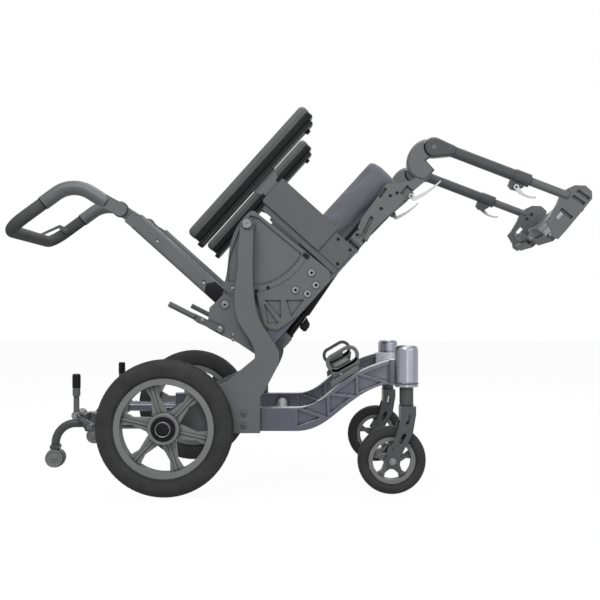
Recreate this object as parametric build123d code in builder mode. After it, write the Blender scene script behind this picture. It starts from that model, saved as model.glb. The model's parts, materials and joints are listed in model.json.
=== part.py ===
"""A tilt in space wheelchair, shown with its seat tilted right back.

Millimetres.  +X is forward, +Y is the sitter's left, +Z is up, and the wheels stand on Z = 0.
Every piece of the right-hand side is made at negative Y and mirrored for the left.  Pieces of
the seat are drawn in seat axes: u runs forward along the seat and w runs up from it, both
measured from the tilt pivot.
"""

from build123d import *
from math import atan2, cos, degrees, radians, sin
import os

# ---------------------------------------------------------------- attitude and fits
TILT = 48.0  # how far the seat is tilted back, degrees
PIVOT_X = -128.5  # tilt pivot
PIVOT_Z = 599.0
RUN = 0.3  # running clearance between pieces that move on each other
SEAT_GAP = 0.2  # gap where a tyre sits on its rim
BORE_FIT = 0.3  # radial clearance of a shaft in its bore

# ---------------------------------------------------------------- half-widths, from the middle plane
RAIL_IN = 187.0  # base side rail, inner face
RAIL_WIDTH = 35.0
ARM_IN = RAIL_IN + RAIL_WIDTH  # tilt arm, inner face, bolted flat to the rail
ARM_WIDTH = 24.0
ARM_BOSS = 2.0  # raised faces round its axle and its pivot
WHEEL_Y = 280.0  # drive wheel, middle
CASTER_Y = 242.0  # caster stem and wheel, middle
SEAT_RAIL_IN = 182.0  # seat rail, inner face
SEAT_RAIL_WIDTH = 24.0
SECTOR_IN = SEAT_RAIL_IN + SEAT_RAIL_WIDTH  # sector plate, inner face, bolted flat to the seat rail
SECTOR_WEB = 6.0  # thickness of the sector's thin web
SECTOR_RIM = 10.0  # thickness of its raised rims and ribs
PANEL_IN = 205.0  # armrest panel, inner face
PANEL_WIDTH = 18.0
PAD_Y = 208.0  # armrest pad, middle
CANE_Y = 195.0  # back cane, middle
LEG_Y = 207.0  # leg tube, middle

# ---------------------------------------------------------------- drive wheel
AXLE_X = -306.0
TYRE_R = 150.5
TYRE_WIDTH = 50.0
RIM_R = 109.0
RIM_WIDTH = 40.0
RIM_DEPTH = 13.0  # radial depth of the rim ring
HUB_R = 34.0
HUB_WIDTH = 50.0
AXLE_R = 8.0
AXLE_HEAD_R = 17.0
AXLE_HEAD = 9.0
SPOKES = 6
SPOKE_START = 47.0  # angle of the first spoke above the horizontal
SPOKE_THICK = 14.0
SPOKE_RIDGE = 4.0

# ---------------------------------------------------------------- caster
CASTER_TRAIL = 33.0
CASTER_R = 76.0
CASTER_WIDTH = 36.0
CASTER_RIM_R = 52.0
CASTER_RIM_WIDTH = 26.0
CASTER_RIM_DEPTH = 9.5
CASTER_HUB_R = 14.0
CASTER_HUB_WIDTH = 42.0
CASTER_AXLE_R = 5.0
CASTER_SPOKES = 5
CASTER_SPOKE_START = 17.0
STEM_X = 225.0
STEM_R = 9.0
HOUSING_R = 26.0
HOUSING_BOTTOM = 238.0
HOUSING_TOP = 331.0
FORK_TOP = 196.0
FORK_ARM = 6.0
FORK_GAP = 4.5  # between the tyre's side and the fork's arm
FORK_COLLAR_R = 15.5

# ---------------------------------------------------------------- base side rail, an S-curved truss casting
RAIL_REAR = -345.0
RAIL_STRAIGHT_END = -20.0
RAIL_FRONT = 190.0
RAIL_LOW = TYRE_R - 13.5  # the axle passes through the rail's lower half
RAIL_DEPTH = 52.0
RAIL_RISE = 106.0  # how far the S lifts the front end
RAIL_RIM = 6.5  # the rail's border above its pockets
RAIL_SILL = 9.0  # and below them
RAIL_WEB = 12.0  # thickness of the rail between its pockets
RAIL_CELLS = 3  # pairs of pockets
RAIL_RIB = 2.7  # half the width of the ribs between them

# ---------------------------------------------------------------- anti-tip gear and wheel lock
RECEIVER_R = 13.0
RECEIVER_END = AXLE_X - TYRE_R - 41.5
ANTI_TIP_R = 9.5
ANTI_TIP_Y = RAIL_IN + RAIL_WIDTH / 2
ANTI_TIP_Z = RAIL_LOW + 16.0
ROLLER_X = -563.0
ROLLER_Z = 75.0
ROLLER_R = 21.5
ROLLER_WIDTH = 20.0
LOCK_X = AXLE_X - TYRE_R - 45.5  # the shoe stands 5 mm off the tyre
LOCK_Z = ANTI_TIP_Z + 23.0
LOCK_Y = 268.0
LOCK_LENGTH = 92.0

# ---------------------------------------------------------------- seat, in seat axes
SEAT_RAIL_REAR = -205.0
SEAT_RAIL_FRONT = 124.0
SEAT_RAIL_LOW = -222.0
SEAT_RAIL_HIGH = -192.0
PAN_THICK = 3.0
CUSHION_REAR = -128.0
CUSHION_FRONT = 308.0
CUSHION_HALF = 200.0
CUSHION_THICK = 85.0
CUSHION_CORNER = 24.0
SECTOR_ARC_R = 152.0
SECTOR_ARC_BAND = 14.0
PANEL_REAR = 48.0
PANEL_FACE = 62.0
PANEL_FRONT = 130.0
PANEL_LOW = -156.0
PANEL_HIGH = 12.0
POST_REAR = 76.0
POST_WIDTH = 40.0
POST_THICK = 9.0
POST_LOW = -130.0
PAD_REAR = -103.0
PAD_LENGTH = 384.0
PAD_WIDTH = 52.0
PAD_TOP = 90.0
PAD_THICK = 36.0
PAD_TRAY = 10.0

# ---------------------------------------------------------------- back and push handle, in seat axes
BACK_U = -167.0  # recline pivot
BACK_W = -81.0
CANE_U = -161.0
CANE_DEPTH = 38.0
CANE_THICK = 20.0
CANE_TOP = 196.0
BACK_HOLES = (-10.0, 130.0)  # heights of the holes that take a backrest's bolts
BACK_HOLE_R = 4.1
BRACKET_THICK = 6.0
LEVER_U = -215.0
LEVER_W = -110.0
HANDLE_U = -166.0  # handle pivot
HANDLE_W = 240.0
HANDLE_R = 14.5
ARM_R = 16.5  # the handle's thicker arms
ROOT_U = -176.0  # start of the handle's tube
ROOT_W = 273.0
BEND_U = -191.0  # corner of its upper bend
BEND_W = 363.0
BEND_R = 70.0
GRIP_U = -373.0  # its cross bar
GRIP_W = 401.0
GRIP_BEND = 45.0
ARM_LENGTH = 82.0  # from the upper corner to the end of the thick arm
TRIGGER_REACH = 52.0  # from the cross bar to the trigger's pin
TONGUE = 10.0

# ---------------------------------------------------------------- legs, in seat axes
SWING_U = 138.0  # swing-away pin
SWING_PIN_R = 6.0
SWING_LUG = 8.0
SWING_KNUCKLE_R = 12.0
HANGER_LOW = -224.0
HANGER_HIGH = -194.0
HANGER_WIDTH = 24.0
CHEEK_HIGH = -170.0  # top of the hanger's outer cheek, beside the cushion
CHEEK_GAP = 3.0  # between the cheek and the cushion
RELEASE_U = 294.0  # swing release lever
RELEASE_W = -229.0
KNEE_U = 409.5
KNEE_W = -193.5
KNEE_R = 22.5
KNEE_WIDTH = 30.0
KNEE_PIN_R = 6.0
KNEE_GAP = 1.0  # the seam between the hanger's neck and the leg's head
LEG_TONGUE = 12.0
LEG_ANGLE = 69.0  # the leg tube below the seat plane
LEG_RISE = 8.0  # the tube's axis above the knee pin
LEG_R = 13.0
LEG_BORE = 10.2
LEG_START = 40.0
LEG_END = 214.0
COLLAR_START = 192.0
COLLAR_END = 230.0
COLLAR_R = 15.0
CLAMP_AT = 205.0  # the clamp lever's pin
EXTENSION_R = 9.8
EXTENSION_START = 112.0
EXTENSION_END = 322.0
FOOT_PITCH = 0.0
FOOT_HINGE_Y = 184.0
FOOT_DROP = 43.0
FOOT_BACK = 90.0
FOOT_AHEAD = 43.0
FOOT_INNER = 8.0
FOOT_THICK = 12.0
FOOT_LIP = 8.0  # height of the lip at the heel
HINGE_AT = -20.0  # middle of the footplate's hinge, behind the tube
CARRIER_IN = 199.0  # inner face of the plate that carries the footplate
CARRIER_THICK = 12.0


# ---------------------------------------------------------------- planes and placing
COS_T = cos(radians(TILT))
SIN_T = sin(radians(TILT))
FORWARD = Vector(COS_T, 0, SIN_T)  # seat axis u
UP = Vector(-SIN_T, 0, COS_T)  # seat axis w
PIVOT = Vector(PIVOT_X, 0, PIVOT_Z)
OUTWARD = Vector(0, -1, 0)  # away from the middle, on the right-hand side


def base_plane(y):
    """Upright plane at half-width y on the right, drawn in X and Z, facing outwards."""
    return Plane(origin=(0, -y, 0), x_dir=(1, 0, 0), z_dir=(0, -1, 0))


def seat_point(u, w, y=0.0):
    """The place of seat point u, w at half-width y on the right."""
    return PIVOT + FORWARD * u + UP * w + OUTWARD * y


def seat_plane(y, u=0.0, w=0.0, turn=0.0):
    """Upright plane at half-width y, drawn in seat axes about point u, w and turned by turn."""
    along = FORWARD * cos(radians(turn)) + UP * sin(radians(turn))
    return Plane(origin=seat_point(u, w, y), x_dir=along, z_dir=OUTWARD)


def deck_plane(w):
    """Plane parallel to the seat at height w, drawn in u and Y."""
    return Plane(origin=seat_point(0, w), x_dir=FORWARD, z_dir=UP)


def across(point):
    """Axis across the chair through a point."""
    return Axis(point, (0, 1, 0))


pieces = {}


def keep(name, part):
    """Stores one piece under its own name."""
    part.label = name
    pieces[name] = part


def keep_pair(name, part):
    """Stores a right-hand piece and its mirror image."""
    keep(name + "_right", part)
    keep(name + "_left", mirror(part, about=Plane.XZ))


def keep_group(name, parts):
    """Stores several separate solids of one kind under one name."""
    solids = [solid for part in parts for solid in part.solids()]
    keep(name, Compound(solids))


def keep_group_of_two(name, part):
    """Stores a right-hand solid and its mirror image under one name."""
    keep_group(name, [part, mirror(part, about=Plane.XZ)])


# ---------------------------------------------------------------- wheels
def tyre(x, y, z, radius, rim_radius, width, grooves):
    """A tyre: rounded shoulders, a seat on the rim and grooves round the tread."""
    middle = Vector(x, -y, z)
    section = Plane(origin=middle, x_dir=(0, 1, 0), z_dir=(1, 0, 0))
    depth = radius - rim_radius - SEAT_GAP
    shoulder = 0.38 * width
    with BuildPart() as body:
        with BuildSketch(section) as profile:
            with Locations((0, radius - depth / 2)):
                Rectangle(width, depth)
            fillet(profile.vertices().group_by(Axis.Y)[-1], shoulder)
        revolve(axis=across(middle))
        with BuildSketch(section):
            for place in grooves:
                with Locations((place * width, radius)):
                    Rectangle(2.4, 5.0)
        revolve(axis=across(middle), mode=Mode.SUBTRACT)
    return body.part


def rim(x, y, z, sizes):
    """A moulded wheel centre: ring, hub, tapered spokes with a ridge, and a bore."""
    outer, ring_width, ring_depth, hub_r, hub_width, bore, count, start, thick, ridge = sizes
    middle = Vector(x, -y, z)
    section = Plane(origin=middle, x_dir=(0, 1, 0), z_dir=(1, 0, 0))
    inner = outer - ring_depth
    face = Plane(origin=middle + OUTWARD * (thick / 2), x_dir=(1, 0, 0), z_dir=(0, -1, 0))
    ridge_face = Plane(origin=middle + OUTWARD * (thick / 2 + ridge), x_dir=(1, 0, 0), z_dir=(0, -1, 0))
    neck = 0.055 * outer + 2.4
    with BuildPart() as body:
        with BuildSketch(section):
            with Locations((0, outer - ring_depth / 2)):
                Rectangle(ring_width, ring_depth)
            with Locations((0, hub_r / 2)):
                Rectangle(hub_width, hub_r)
        revolve(axis=across(middle))
        with BuildSketch(face):
            with PolarLocations(0, count, start_angle=start):
                Polygon(
                    (0.55 * hub_r, -2.3 * neck),
                    (0.55 * (hub_r + inner), -neck),
                    (inner + 1, -1.9 * neck),
                    (inner + 1, 1.9 * neck),
                    (0.55 * (hub_r + inner), neck),
                    (0.55 * hub_r, 2.3 * neck),
                    align=None,
                )
        extrude(amount=-thick)
        with BuildSketch(ridge_face):
            with PolarLocations(0, count, start_angle=start):
                with Locations(((hub_r + inner) / 2, 0)):
                    Rectangle(inner - hub_r + 2, 0.5 * neck)
        extrude(amount=-ridge - 1)
        with BuildSketch(Plane(origin=middle, x_dir=(1, 0, 0), z_dir=(0, -1, 0))):
            Circle(bore)
        extrude(amount=hub_width, both=True, mode=Mode.SUBTRACT)
    return body.part


DRIVE_RIM = (
    RIM_R, RIM_WIDTH, RIM_DEPTH, HUB_R, HUB_WIDTH, AXLE_R + BORE_FIT,
    SPOKES, SPOKE_START, SPOKE_THICK, SPOKE_RIDGE,
)
CASTER_RIM = (
    CASTER_RIM_R, CASTER_RIM_WIDTH, CASTER_RIM_DEPTH, CASTER_HUB_R, CASTER_HUB_WIDTH,
    CASTER_AXLE_R + BORE_FIT, CASTER_SPOKES, CASTER_SPOKE_START, 10.0, 2.0,
)
CASTER_X = STEM_X - CASTER_TRAIL


def drive_wheels():
    """Both drive wheels and the axles that they turn on."""
    keep_pair("drive_tyre", tyre(AXLE_X, WHEEL_Y, TYRE_R, TYRE_R, RIM_R, TYRE_WIDTH, (-0.16, 0.16)))
    keep_pair("drive_rim", rim(AXLE_X, WHEEL_Y, TYRE_R, DRIVE_RIM))
    inboard = ARM_IN - RAIL_WIDTH
    outboard = WHEEL_Y + HUB_WIDTH / 2 + RUN
    with BuildPart() as axle:
        with BuildSketch(base_plane(inboard)):
            with Locations((AXLE_X, TYRE_R)):
                Circle(AXLE_R)
        extrude(amount=outboard - inboard + AXLE_HEAD / 2)
        with BuildSketch(base_plane(outboard)):
            with Locations((AXLE_X, TYRE_R)):
                Circle(AXLE_HEAD_R)
        extrude(amount=AXLE_HEAD)
        chamfer(axle.edges().group_by(Axis.Y)[0], 2.0)
        with BuildSketch(base_plane(ARM_IN + ARM_WIDTH + ARM_BOSS)):
            with Locations((AXLE_X, TYRE_R)):
                Circle(AXLE_HEAD_R)
        extrude(amount=WHEEL_Y - HUB_WIDTH / 2 - RUN - ARM_IN - ARM_WIDTH - ARM_BOSS)
    keep_group_of_two("wheel_axles", axle.part)


def casters():
    """Both casters: fork with its stem and axle, tyre and wheel centre."""
    keep_pair(
        "caster_tyre",
        tyre(CASTER_X, CASTER_Y, CASTER_R, CASTER_R, CASTER_RIM_R, CASTER_WIDTH, (0.0,)),
    )
    keep_pair("caster_rim", rim(CASTER_X, CASTER_Y, CASTER_R, CASTER_RIM))
    arm_in = CASTER_WIDTH / 2 + FORK_GAP
    half = arm_in + FORK_ARM
    axle_boss = 17.0
    top_rear = STEM_X - 14.5
    top_front = STEM_X + 18.5
    with BuildPart() as fork:
        with BuildSketch(base_plane(CASTER_Y - half)):
            with BuildLine():
                Polyline(
                    (top_rear, FORK_TOP),
                    (top_rear, 168),
                    (CASTER_X + 4, 122),
                    (CASTER_X - 15, 92),
                    (CASTER_X, CASTER_R),
                    (CASTER_X + 15.5, CASTER_R + 7),
                    (top_front - 7, 137),
                    (top_front, 178),
                    (top_front, FORK_TOP),
                    close=True,
                )
            make_face()
            with Locations((CASTER_X, CASTER_R)):
                Circle(axle_boss)
            with Locations(Location((STEM_X + 1, 168), (0, 0, 80))):
                SlotOverall(24, 7, mode=Mode.SUBTRACT)
            with Locations(Location((CASTER_X + 22, 126), (0, 0, 62))):
                SlotOverall(25, 8, mode=Mode.SUBTRACT)
            with Locations((CASTER_X + 1, CASTER_R + 26)):
                Circle(2.6, mode=Mode.SUBTRACT)
        extrude(amount=2 * half)
        with BuildSketch(base_plane(CASTER_Y - arm_in)):
            with Locations((CASTER_X, CASTER_R)):
                Circle(CASTER_R + 14)
            with Locations((CASTER_X, 70)):
                Rectangle(200, 140)
        extrude(amount=2 * arm_in, mode=Mode.SUBTRACT)
        with BuildSketch(Plane.XY.offset(FORK_TOP)):
            with Locations((STEM_X, -CASTER_Y)):
                Circle(FORK_COLLAR_R)
        extrude(amount=HOUSING_BOTTOM - RUN - FORK_TOP)
        with BuildSketch(Plane.XY.offset(FORK_TOP)):
            with Locations((STEM_X, -CASTER_Y)):
                Circle(STEM_R)
        extrude(amount=HOUSING_TOP - 26 - FORK_TOP)
        with BuildSketch(base_plane(CASTER_Y - half - 3)):
            with Locations((CASTER_X, CASTER_R)):
                Circle(CASTER_AXLE_R)
        extrude(amount=2 * half + 6)
    keep_pair("caster_fork", fork.part)


# ---------------------------------------------------------------- base
def rail_outline():
    """Lower and upper edges of the S-curved stretch of the side rail."""
    low = Spline(
        (RAIL_STRAIGHT_END, RAIL_LOW),
        (78, RAIL_LOW + 46),
        (RAIL_FRONT, RAIL_LOW + RAIL_RISE),
        tangents=((1, 0), (1, 0.12)),
        tangent_scalars=(1.2, 1.0),
        mode=Mode.PRIVATE,
    )
    high = Spline(
        (RAIL_STRAIGHT_END, RAIL_LOW + RAIL_DEPTH),
        (72, RAIL_LOW + RAIL_DEPTH + 48),
        (RAIL_FRONT, RAIL_LOW + RAIL_DEPTH + RAIL_RISE),
        tangents=((1, 0), (1, 0.24)),
        tangent_scalars=(1.2, 1.0),
        mode=Mode.PRIVATE,
    )
    return low, high


def truss_triangles(low, high):
    """Pockets between two edges: a rib splits each cell from its upper rear to its lower front corner."""
    triangles = []
    for i in range(RAIL_CELLS):
        a, b = i / RAIL_CELLS, (i + 1) / RAIL_CELLS
        triangles.append(inset_triangle((low @ a, low @ b, high @ a), (RAIL_RIB, RAIL_RIB, RAIL_SILL)))
        triangles.append(inset_triangle((high @ a, high @ b, low @ b), (RAIL_RIB, RAIL_RIB, RAIL_RIM)))
    return triangles


def inset_triangle(corners, insets):
    """The triangle whose sides lie inside the given one's, the side facing each corner by its own inset."""
    a, b, c = corners
    sides = ((b - c).length, (c - a).length, (a - b).length)
    twice_area = (b - a).cross(c - a).length
    i, j, k = (inset * side / twice_area for inset, side in zip(insets, sides))
    return [
        a * (1 - j - k) + b * j + c * k,
        a * i + b * (1 - i - k) + c * k,
        a * i + b * j + c * (1 - i - j),
    ]


def side_rails():
    """Side rails: a straight rear end, an S-curved front with truss pockets, and the anti-tip receiver."""
    low, high = rail_outline()
    pocket = (RAIL_WIDTH - RAIL_WEB) / 2
    with BuildPart() as side_rail:
        with BuildSketch(base_plane(RAIL_IN)):
            with BuildLine():
                add(low)
                add(high)
                Line(low @ 1, high @ 1)
                Polyline(
                    low @ 0,
                    (RAIL_REAR, RAIL_LOW),
                    (RAIL_REAR, RAIL_LOW + RAIL_DEPTH),
                    high @ 0,
                )
            make_face()
        extrude(amount=RAIL_WIDTH)
        for face_y, direction in ((RAIL_IN + RAIL_WIDTH, -1), (RAIL_IN, 1)):
            with BuildSketch(base_plane(face_y)):
                for corners in truss_triangles(low, high):
                    with BuildLine():
                        Polyline(*corners, close=True)
                    make_face()
            extrude(amount=direction * pocket, mode=Mode.SUBTRACT)
        with BuildSketch(Plane(origin=(RAIL_REAR, -ANTI_TIP_Y, ANTI_TIP_Z), z_dir=(-1, 0, 0))):
            Circle(RECEIVER_R)
        extrude(amount=RAIL_REAR - RECEIVER_END)
        with Locations(Location((RECEIVER_END, -ANTI_TIP_Y, ANTI_TIP_Z), (0, -90, 0))):
            Hole(ANTI_TIP_R + BORE_FIT, depth=RAIL_REAR - RECEIVER_END - 10)
        with BuildSketch(base_plane(RAIL_IN)):
            with Locations((AXLE_X, TYRE_R)):
                Circle(AXLE_R)
        extrude(amount=RAIL_WIDTH, mode=Mode.SUBTRACT)
    keep_pair("side_rail", side_rail.part)


def tilt_arms():
    """The arms that carry the seat: foot plate on the rail, curved neck, and the pivot bore at the top."""
    head_r = 14.0
    with BuildPart() as tilt_arm:
        with BuildSketch(base_plane(ARM_IN)):
            with BuildLine():
                front = Spline(
                    (PIVOT_X + head_r, PIVOT_Z),
                    (-112, 430),
                    (-97, 378),
                    (-59, 312),
                    (-91, 226),
                    tangents=((0, -1), (-0.5, -1)),
                )
                Polyline(
                    front @ 1,
                    (-100, 214),
                    (-100, RAIL_LOW - 2),
                    (AXLE_X + 60, RAIL_LOW - 2),
                    (AXLE_X, TYRE_R - 30),
                    (AXLE_X - 32, TYRE_R),
                    (AXLE_X - 14, TYRE_R + 29),
                    (-176, 247),
                    (-112, 300),
                )
                back = Spline(
                    (-112, 300),
                    (-116, 330),
                    (-142, 372),
                    (-156, 424),
                    (-148, 510),
                    (PIVOT_X - head_r, PIVOT_Z),
                    tangents=((0.2, 1), (0.12, 1)),
                )
                ThreePointArc(
                    back @ 1,
                    (PIVOT_X, PIVOT_Z + head_r),
                    front @ 0,
                )
            make_face()
        extrude(amount=ARM_WIDTH)
        with BuildSketch(base_plane(ARM_IN + ARM_WIDTH)):
            with Locations((AXLE_X, TYRE_R)):
                Circle(27)
            with Locations((PIVOT_X, PIVOT_Z)):
                Circle(head_r - 2)
        extrude(amount=ARM_BOSS)
        with BuildSketch(base_plane(ARM_IN)):
            with Locations((PIVOT_X, PIVOT_Z)):
                Circle(8.0 + BORE_FIT)
            with Locations((AXLE_X, TYRE_R)):
                Circle(AXLE_R)
        extrude(amount=ARM_WIDTH + ARM_BOSS, mode=Mode.SUBTRACT)
    keep_pair("tilt_arm", tilt_arm.part)


def pivot_bolts():
    """The bolts that the seat tilts on, from inside the sector plate to outside the arm."""
    with BuildPart() as bolt:
        with BuildSketch(base_plane(SECTOR_IN)):
            with Locations((PIVOT_X, PIVOT_Z)):
                Circle(8.0)
        extrude(amount=ARM_IN + ARM_WIDTH + 2 - SECTOR_IN)
        with BuildSketch(base_plane(ARM_IN + ARM_WIDTH + 2)):
            with Locations((PIVOT_X, PIVOT_Z)):
                Circle(10.0)
        extrude(amount=5.0)
        with BuildSketch(base_plane(ARM_IN + ARM_WIDTH + 7)):
            with Locations((PIVOT_X, PIVOT_Z)):
                RegularPolygon(4.0, 6)
        extrude(amount=-3.0, mode=Mode.SUBTRACT)
    keep_group_of_two("pivot_bolts", bolt.part)


def caster_housings():
    """Housings of the caster stems: a domed barrel with a socket that takes the rail's front end."""
    socket_low = RAIL_LOW + RAIL_RISE - 2
    socket_high = RAIL_LOW + RAIL_DEPTH + RAIL_RISE + 2
    dome = 12.0
    with BuildPart() as housing:
        with BuildSketch(Plane.XY.offset(HOUSING_BOTTOM)):
            with Locations((STEM_X, -CASTER_Y)):
                Circle(HOUSING_R)
        extrude(amount=HOUSING_TOP - HOUSING_BOTTOM)
        fillet(housing.edges().group_by(Axis.Z)[-1], dome)
        with BuildSketch(Plane.XY.offset(socket_low)):
            with BuildLine():
                Polyline(
                    (RAIL_FRONT, -RAIL_IN),
                    (STEM_X + 8, -RAIL_IN),
                    (STEM_X + HOUSING_R - 3, -CASTER_Y + 14),
                    (STEM_X, -CASTER_Y - 22),
                    (RAIL_FRONT, -RAIL_IN - RAIL_WIDTH - 6),
                    close=True,
                )
            make_face()
        extrude(amount=socket_high - socket_low)
        with Locations(Location((STEM_X, -CASTER_Y, HOUSING_BOTTOM), (180, 0, 0))):
            Hole(STEM_R + BORE_FIT, depth=HOUSING_TOP - 22 - HOUSING_BOTTOM)
    keep_pair("caster_housing", housing.part)


def cross_tubes():
    """Tubes across the base between the side rails, and across the seat between its rails."""
    with BuildPart() as base_tube:
        with BuildSketch(Plane.XZ.offset(-RAIL_IN)):
            with Locations((-60, RAIL_LOW + RAIL_DEPTH / 2)):
                Circle(16)
                Circle(13, mode=Mode.SUBTRACT)
        extrude(amount=2 * RAIL_IN)
    with BuildPart() as axle_tube:
        with BuildSketch(Plane.XZ.offset(-RAIL_IN)):
            with Locations((AXLE_X, TYRE_R)):
                Circle(16)
                Circle(13, mode=Mode.SUBTRACT)
        extrude(amount=2 * RAIL_IN)
    keep_group("base_cross_tubes", [base_tube.part, axle_tube.part])
    tubes = []
    for u in (SEAT_RAIL_REAR + 22, SEAT_RAIL_FRONT - 26):
        with BuildPart() as seat_tube:
            with BuildSketch(seat_plane(-SEAT_RAIL_IN)):
                with Locations((u, (SEAT_RAIL_LOW + SEAT_RAIL_HIGH) / 2)):
                    Circle(12.5)
                    Circle(10.5, mode=Mode.SUBTRACT)
            extrude(amount=2 * SEAT_RAIL_IN)
        tubes.append(seat_tube.part)
    keep_group("seat_cross_tubes", tubes)


def tie_downs():
    """Transport tie-down brackets: a foot bolted on the rail's slope and a slotted eye."""
    thick = 6.0
    eye_y = ANTI_TIP_Y - thick / 2
    slope = 30.0
    with BuildPart() as tie_down:
        with BuildSketch(base_plane(eye_y)) as eye:
            with BuildLine():
                Polyline(
                    (62, 238),
                    (50, 292),
                    (54, 304),
                    (92, 327),
                    (112, 322),
                    (124, 296),
                    (116, 275),
                    close=True,
                )
            make_face()
            fillet(eye.vertices().filter_by(lambda corner: corner.Y > 280), 9)
            with Locations(Location((86, 299), (0, 0, slope))):
                SlotOverall(50, 20, mode=Mode.SUBTRACT)
        extrude(amount=thick)
        with BuildSketch(base_plane(RAIL_IN + 4)):
            with BuildLine():
                Polyline((60, 226), (60, 240), (112, 281), (119, 281), (119, 275), close=True)
            make_face()
        extrude(amount=RAIL_WIDTH - 8)
    keep_pair("tie_down_bracket", tie_down.part - pieces["side_rail_right"])


def anti_tips():
    """Anti-tip tubes with their rollers: a straight spigot in the receiver and a hooked end."""
    bend = 46.0
    with BuildPart() as anti_tip:
        with BuildLine() as route:
            FilletPolyline(
                (RAIL_REAR - 20, -ANTI_TIP_Y, ANTI_TIP_Z),
                (ROLLER_X, -ANTI_TIP_Y, ANTI_TIP_Z),
                (ROLLER_X, -ANTI_TIP_Y, ROLLER_Z + ROLLER_R + 3),
                radius=bend,
            )
        with BuildSketch(Plane(origin=route.line @ 0, z_dir=route.line % 0)):
            Circle(ANTI_TIP_R)
        sweep()
        fork_half = ROLLER_WIDTH / 2 + 1.0
        with BuildSketch(base_plane(ANTI_TIP_Y - fork_half - 4)):
            with Locations((ROLLER_X, ROLLER_Z + ROLLER_R + 4)):
                Rectangle(2 * ANTI_TIP_R, 8)
            with Locations((ROLLER_X, ROLLER_Z + 10)):
                Rectangle(14, 22)
            with Locations((ROLLER_X, ROLLER_Z)):
                Circle(7)
        extrude(amount=2 * fork_half + 8)
        with BuildSketch(base_plane(ANTI_TIP_Y - fork_half)):
            with Locations((ROLLER_X, ROLLER_Z - 8)):
                Rectangle(60, 2 * ROLLER_R + 18)
        extrude(amount=2 * fork_half, mode=Mode.SUBTRACT)
        with BuildSketch(base_plane(ANTI_TIP_Y - fork_half - 4)):
            with Locations((ROLLER_X, ROLLER_Z)):
                Circle(4)
        extrude(amount=2 * fork_half + 8)
    keep_pair("anti_tip_tube", anti_tip.part)
    with BuildPart() as roller:
        with BuildSketch(base_plane(ANTI_TIP_Y - ROLLER_WIDTH / 2)):
            with Locations((ROLLER_X, ROLLER_Z)):
                Circle(ROLLER_R)
                Circle(4 + BORE_FIT, mode=Mode.SUBTRACT)
        extrude(amount=ROLLER_WIDTH)
        fillet(roller.edges().filter_by(GeomType.CIRCLE).sort_by(SortBy.RADIUS)[-2:], 4.0)
    keep_pair("anti_tip_roller", roller.part)


def wheel_locks():
    """Wheel locks: a clamp block on the receiver reaching behind the tyre, and the lever with its shoe."""
    block_x = LOCK_X + 20
    reach = LOCK_Y - ANTI_TIP_Y
    with BuildPart() as block:
        with BuildSketch(base_plane(ANTI_TIP_Y - 18)):
            with Locations((block_x, ANTI_TIP_Z + 4)):
                RectangleRounded(24, 42, 5)
        extrude(amount=36)
        with BuildSketch(base_plane(ANTI_TIP_Y)):
            with Locations((LOCK_X, LOCK_Z)):
                Circle(11)
            with Locations(((LOCK_X + block_x) / 2, LOCK_Z - 4)):
                Rectangle(block_x - LOCK_X, 14)
        extrude(amount=reach - 9)
        with BuildSketch(base_plane(LOCK_Y - 9)):
            with Locations((LOCK_X, LOCK_Z)):
                Circle(4.0)
        extrude(amount=22)
        with BuildSketch(Plane(origin=(RECEIVER_END, -ANTI_TIP_Y, ANTI_TIP_Z), z_dir=(1, 0, 0))):
            Circle(RECEIVER_R)
        extrude(amount=60, mode=Mode.SUBTRACT)
    keep_group_of_two("lock_brackets", block.part)
    lever_in = LOCK_Y - 9 + RUN
    with BuildPart() as lever:
        with BuildSketch(base_plane(lever_in)):
            with Locations((LOCK_X, LOCK_Z)):
                Circle(10)
            with Locations((LOCK_X, LOCK_Z + 26)):
                Rectangle(11, 46)
            with Locations(Location((LOCK_X + 17, LOCK_Z - 11), (0, 0, -33))):
                Rectangle(40, 9)
        extrude(amount=9)
        with BuildSketch(Plane.XY.offset(LOCK_Z + 44)):
            with Locations((LOCK_X, -lever_in - 4.5)):
                Circle(8.5)
        extrude(amount=LOCK_LENGTH - 44)
        fillet(lever.edges().group_by(Axis.Z)[-1], 3.0)
        with BuildSketch(base_plane(LOCK_Y - 5)):
            with Locations((LOCK_X + 34, LOCK_Z - 22)):
                Circle(6)
        extrude(amount=30)
        with BuildSketch(base_plane(LOCK_Y - 9)):
            with Locations((LOCK_X, LOCK_Z)):
                Circle(4.0 + BORE_FIT)
        extrude(amount=20, mode=Mode.SUBTRACT)
    keep_pair("wheel_lock_lever", lever.part)


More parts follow.
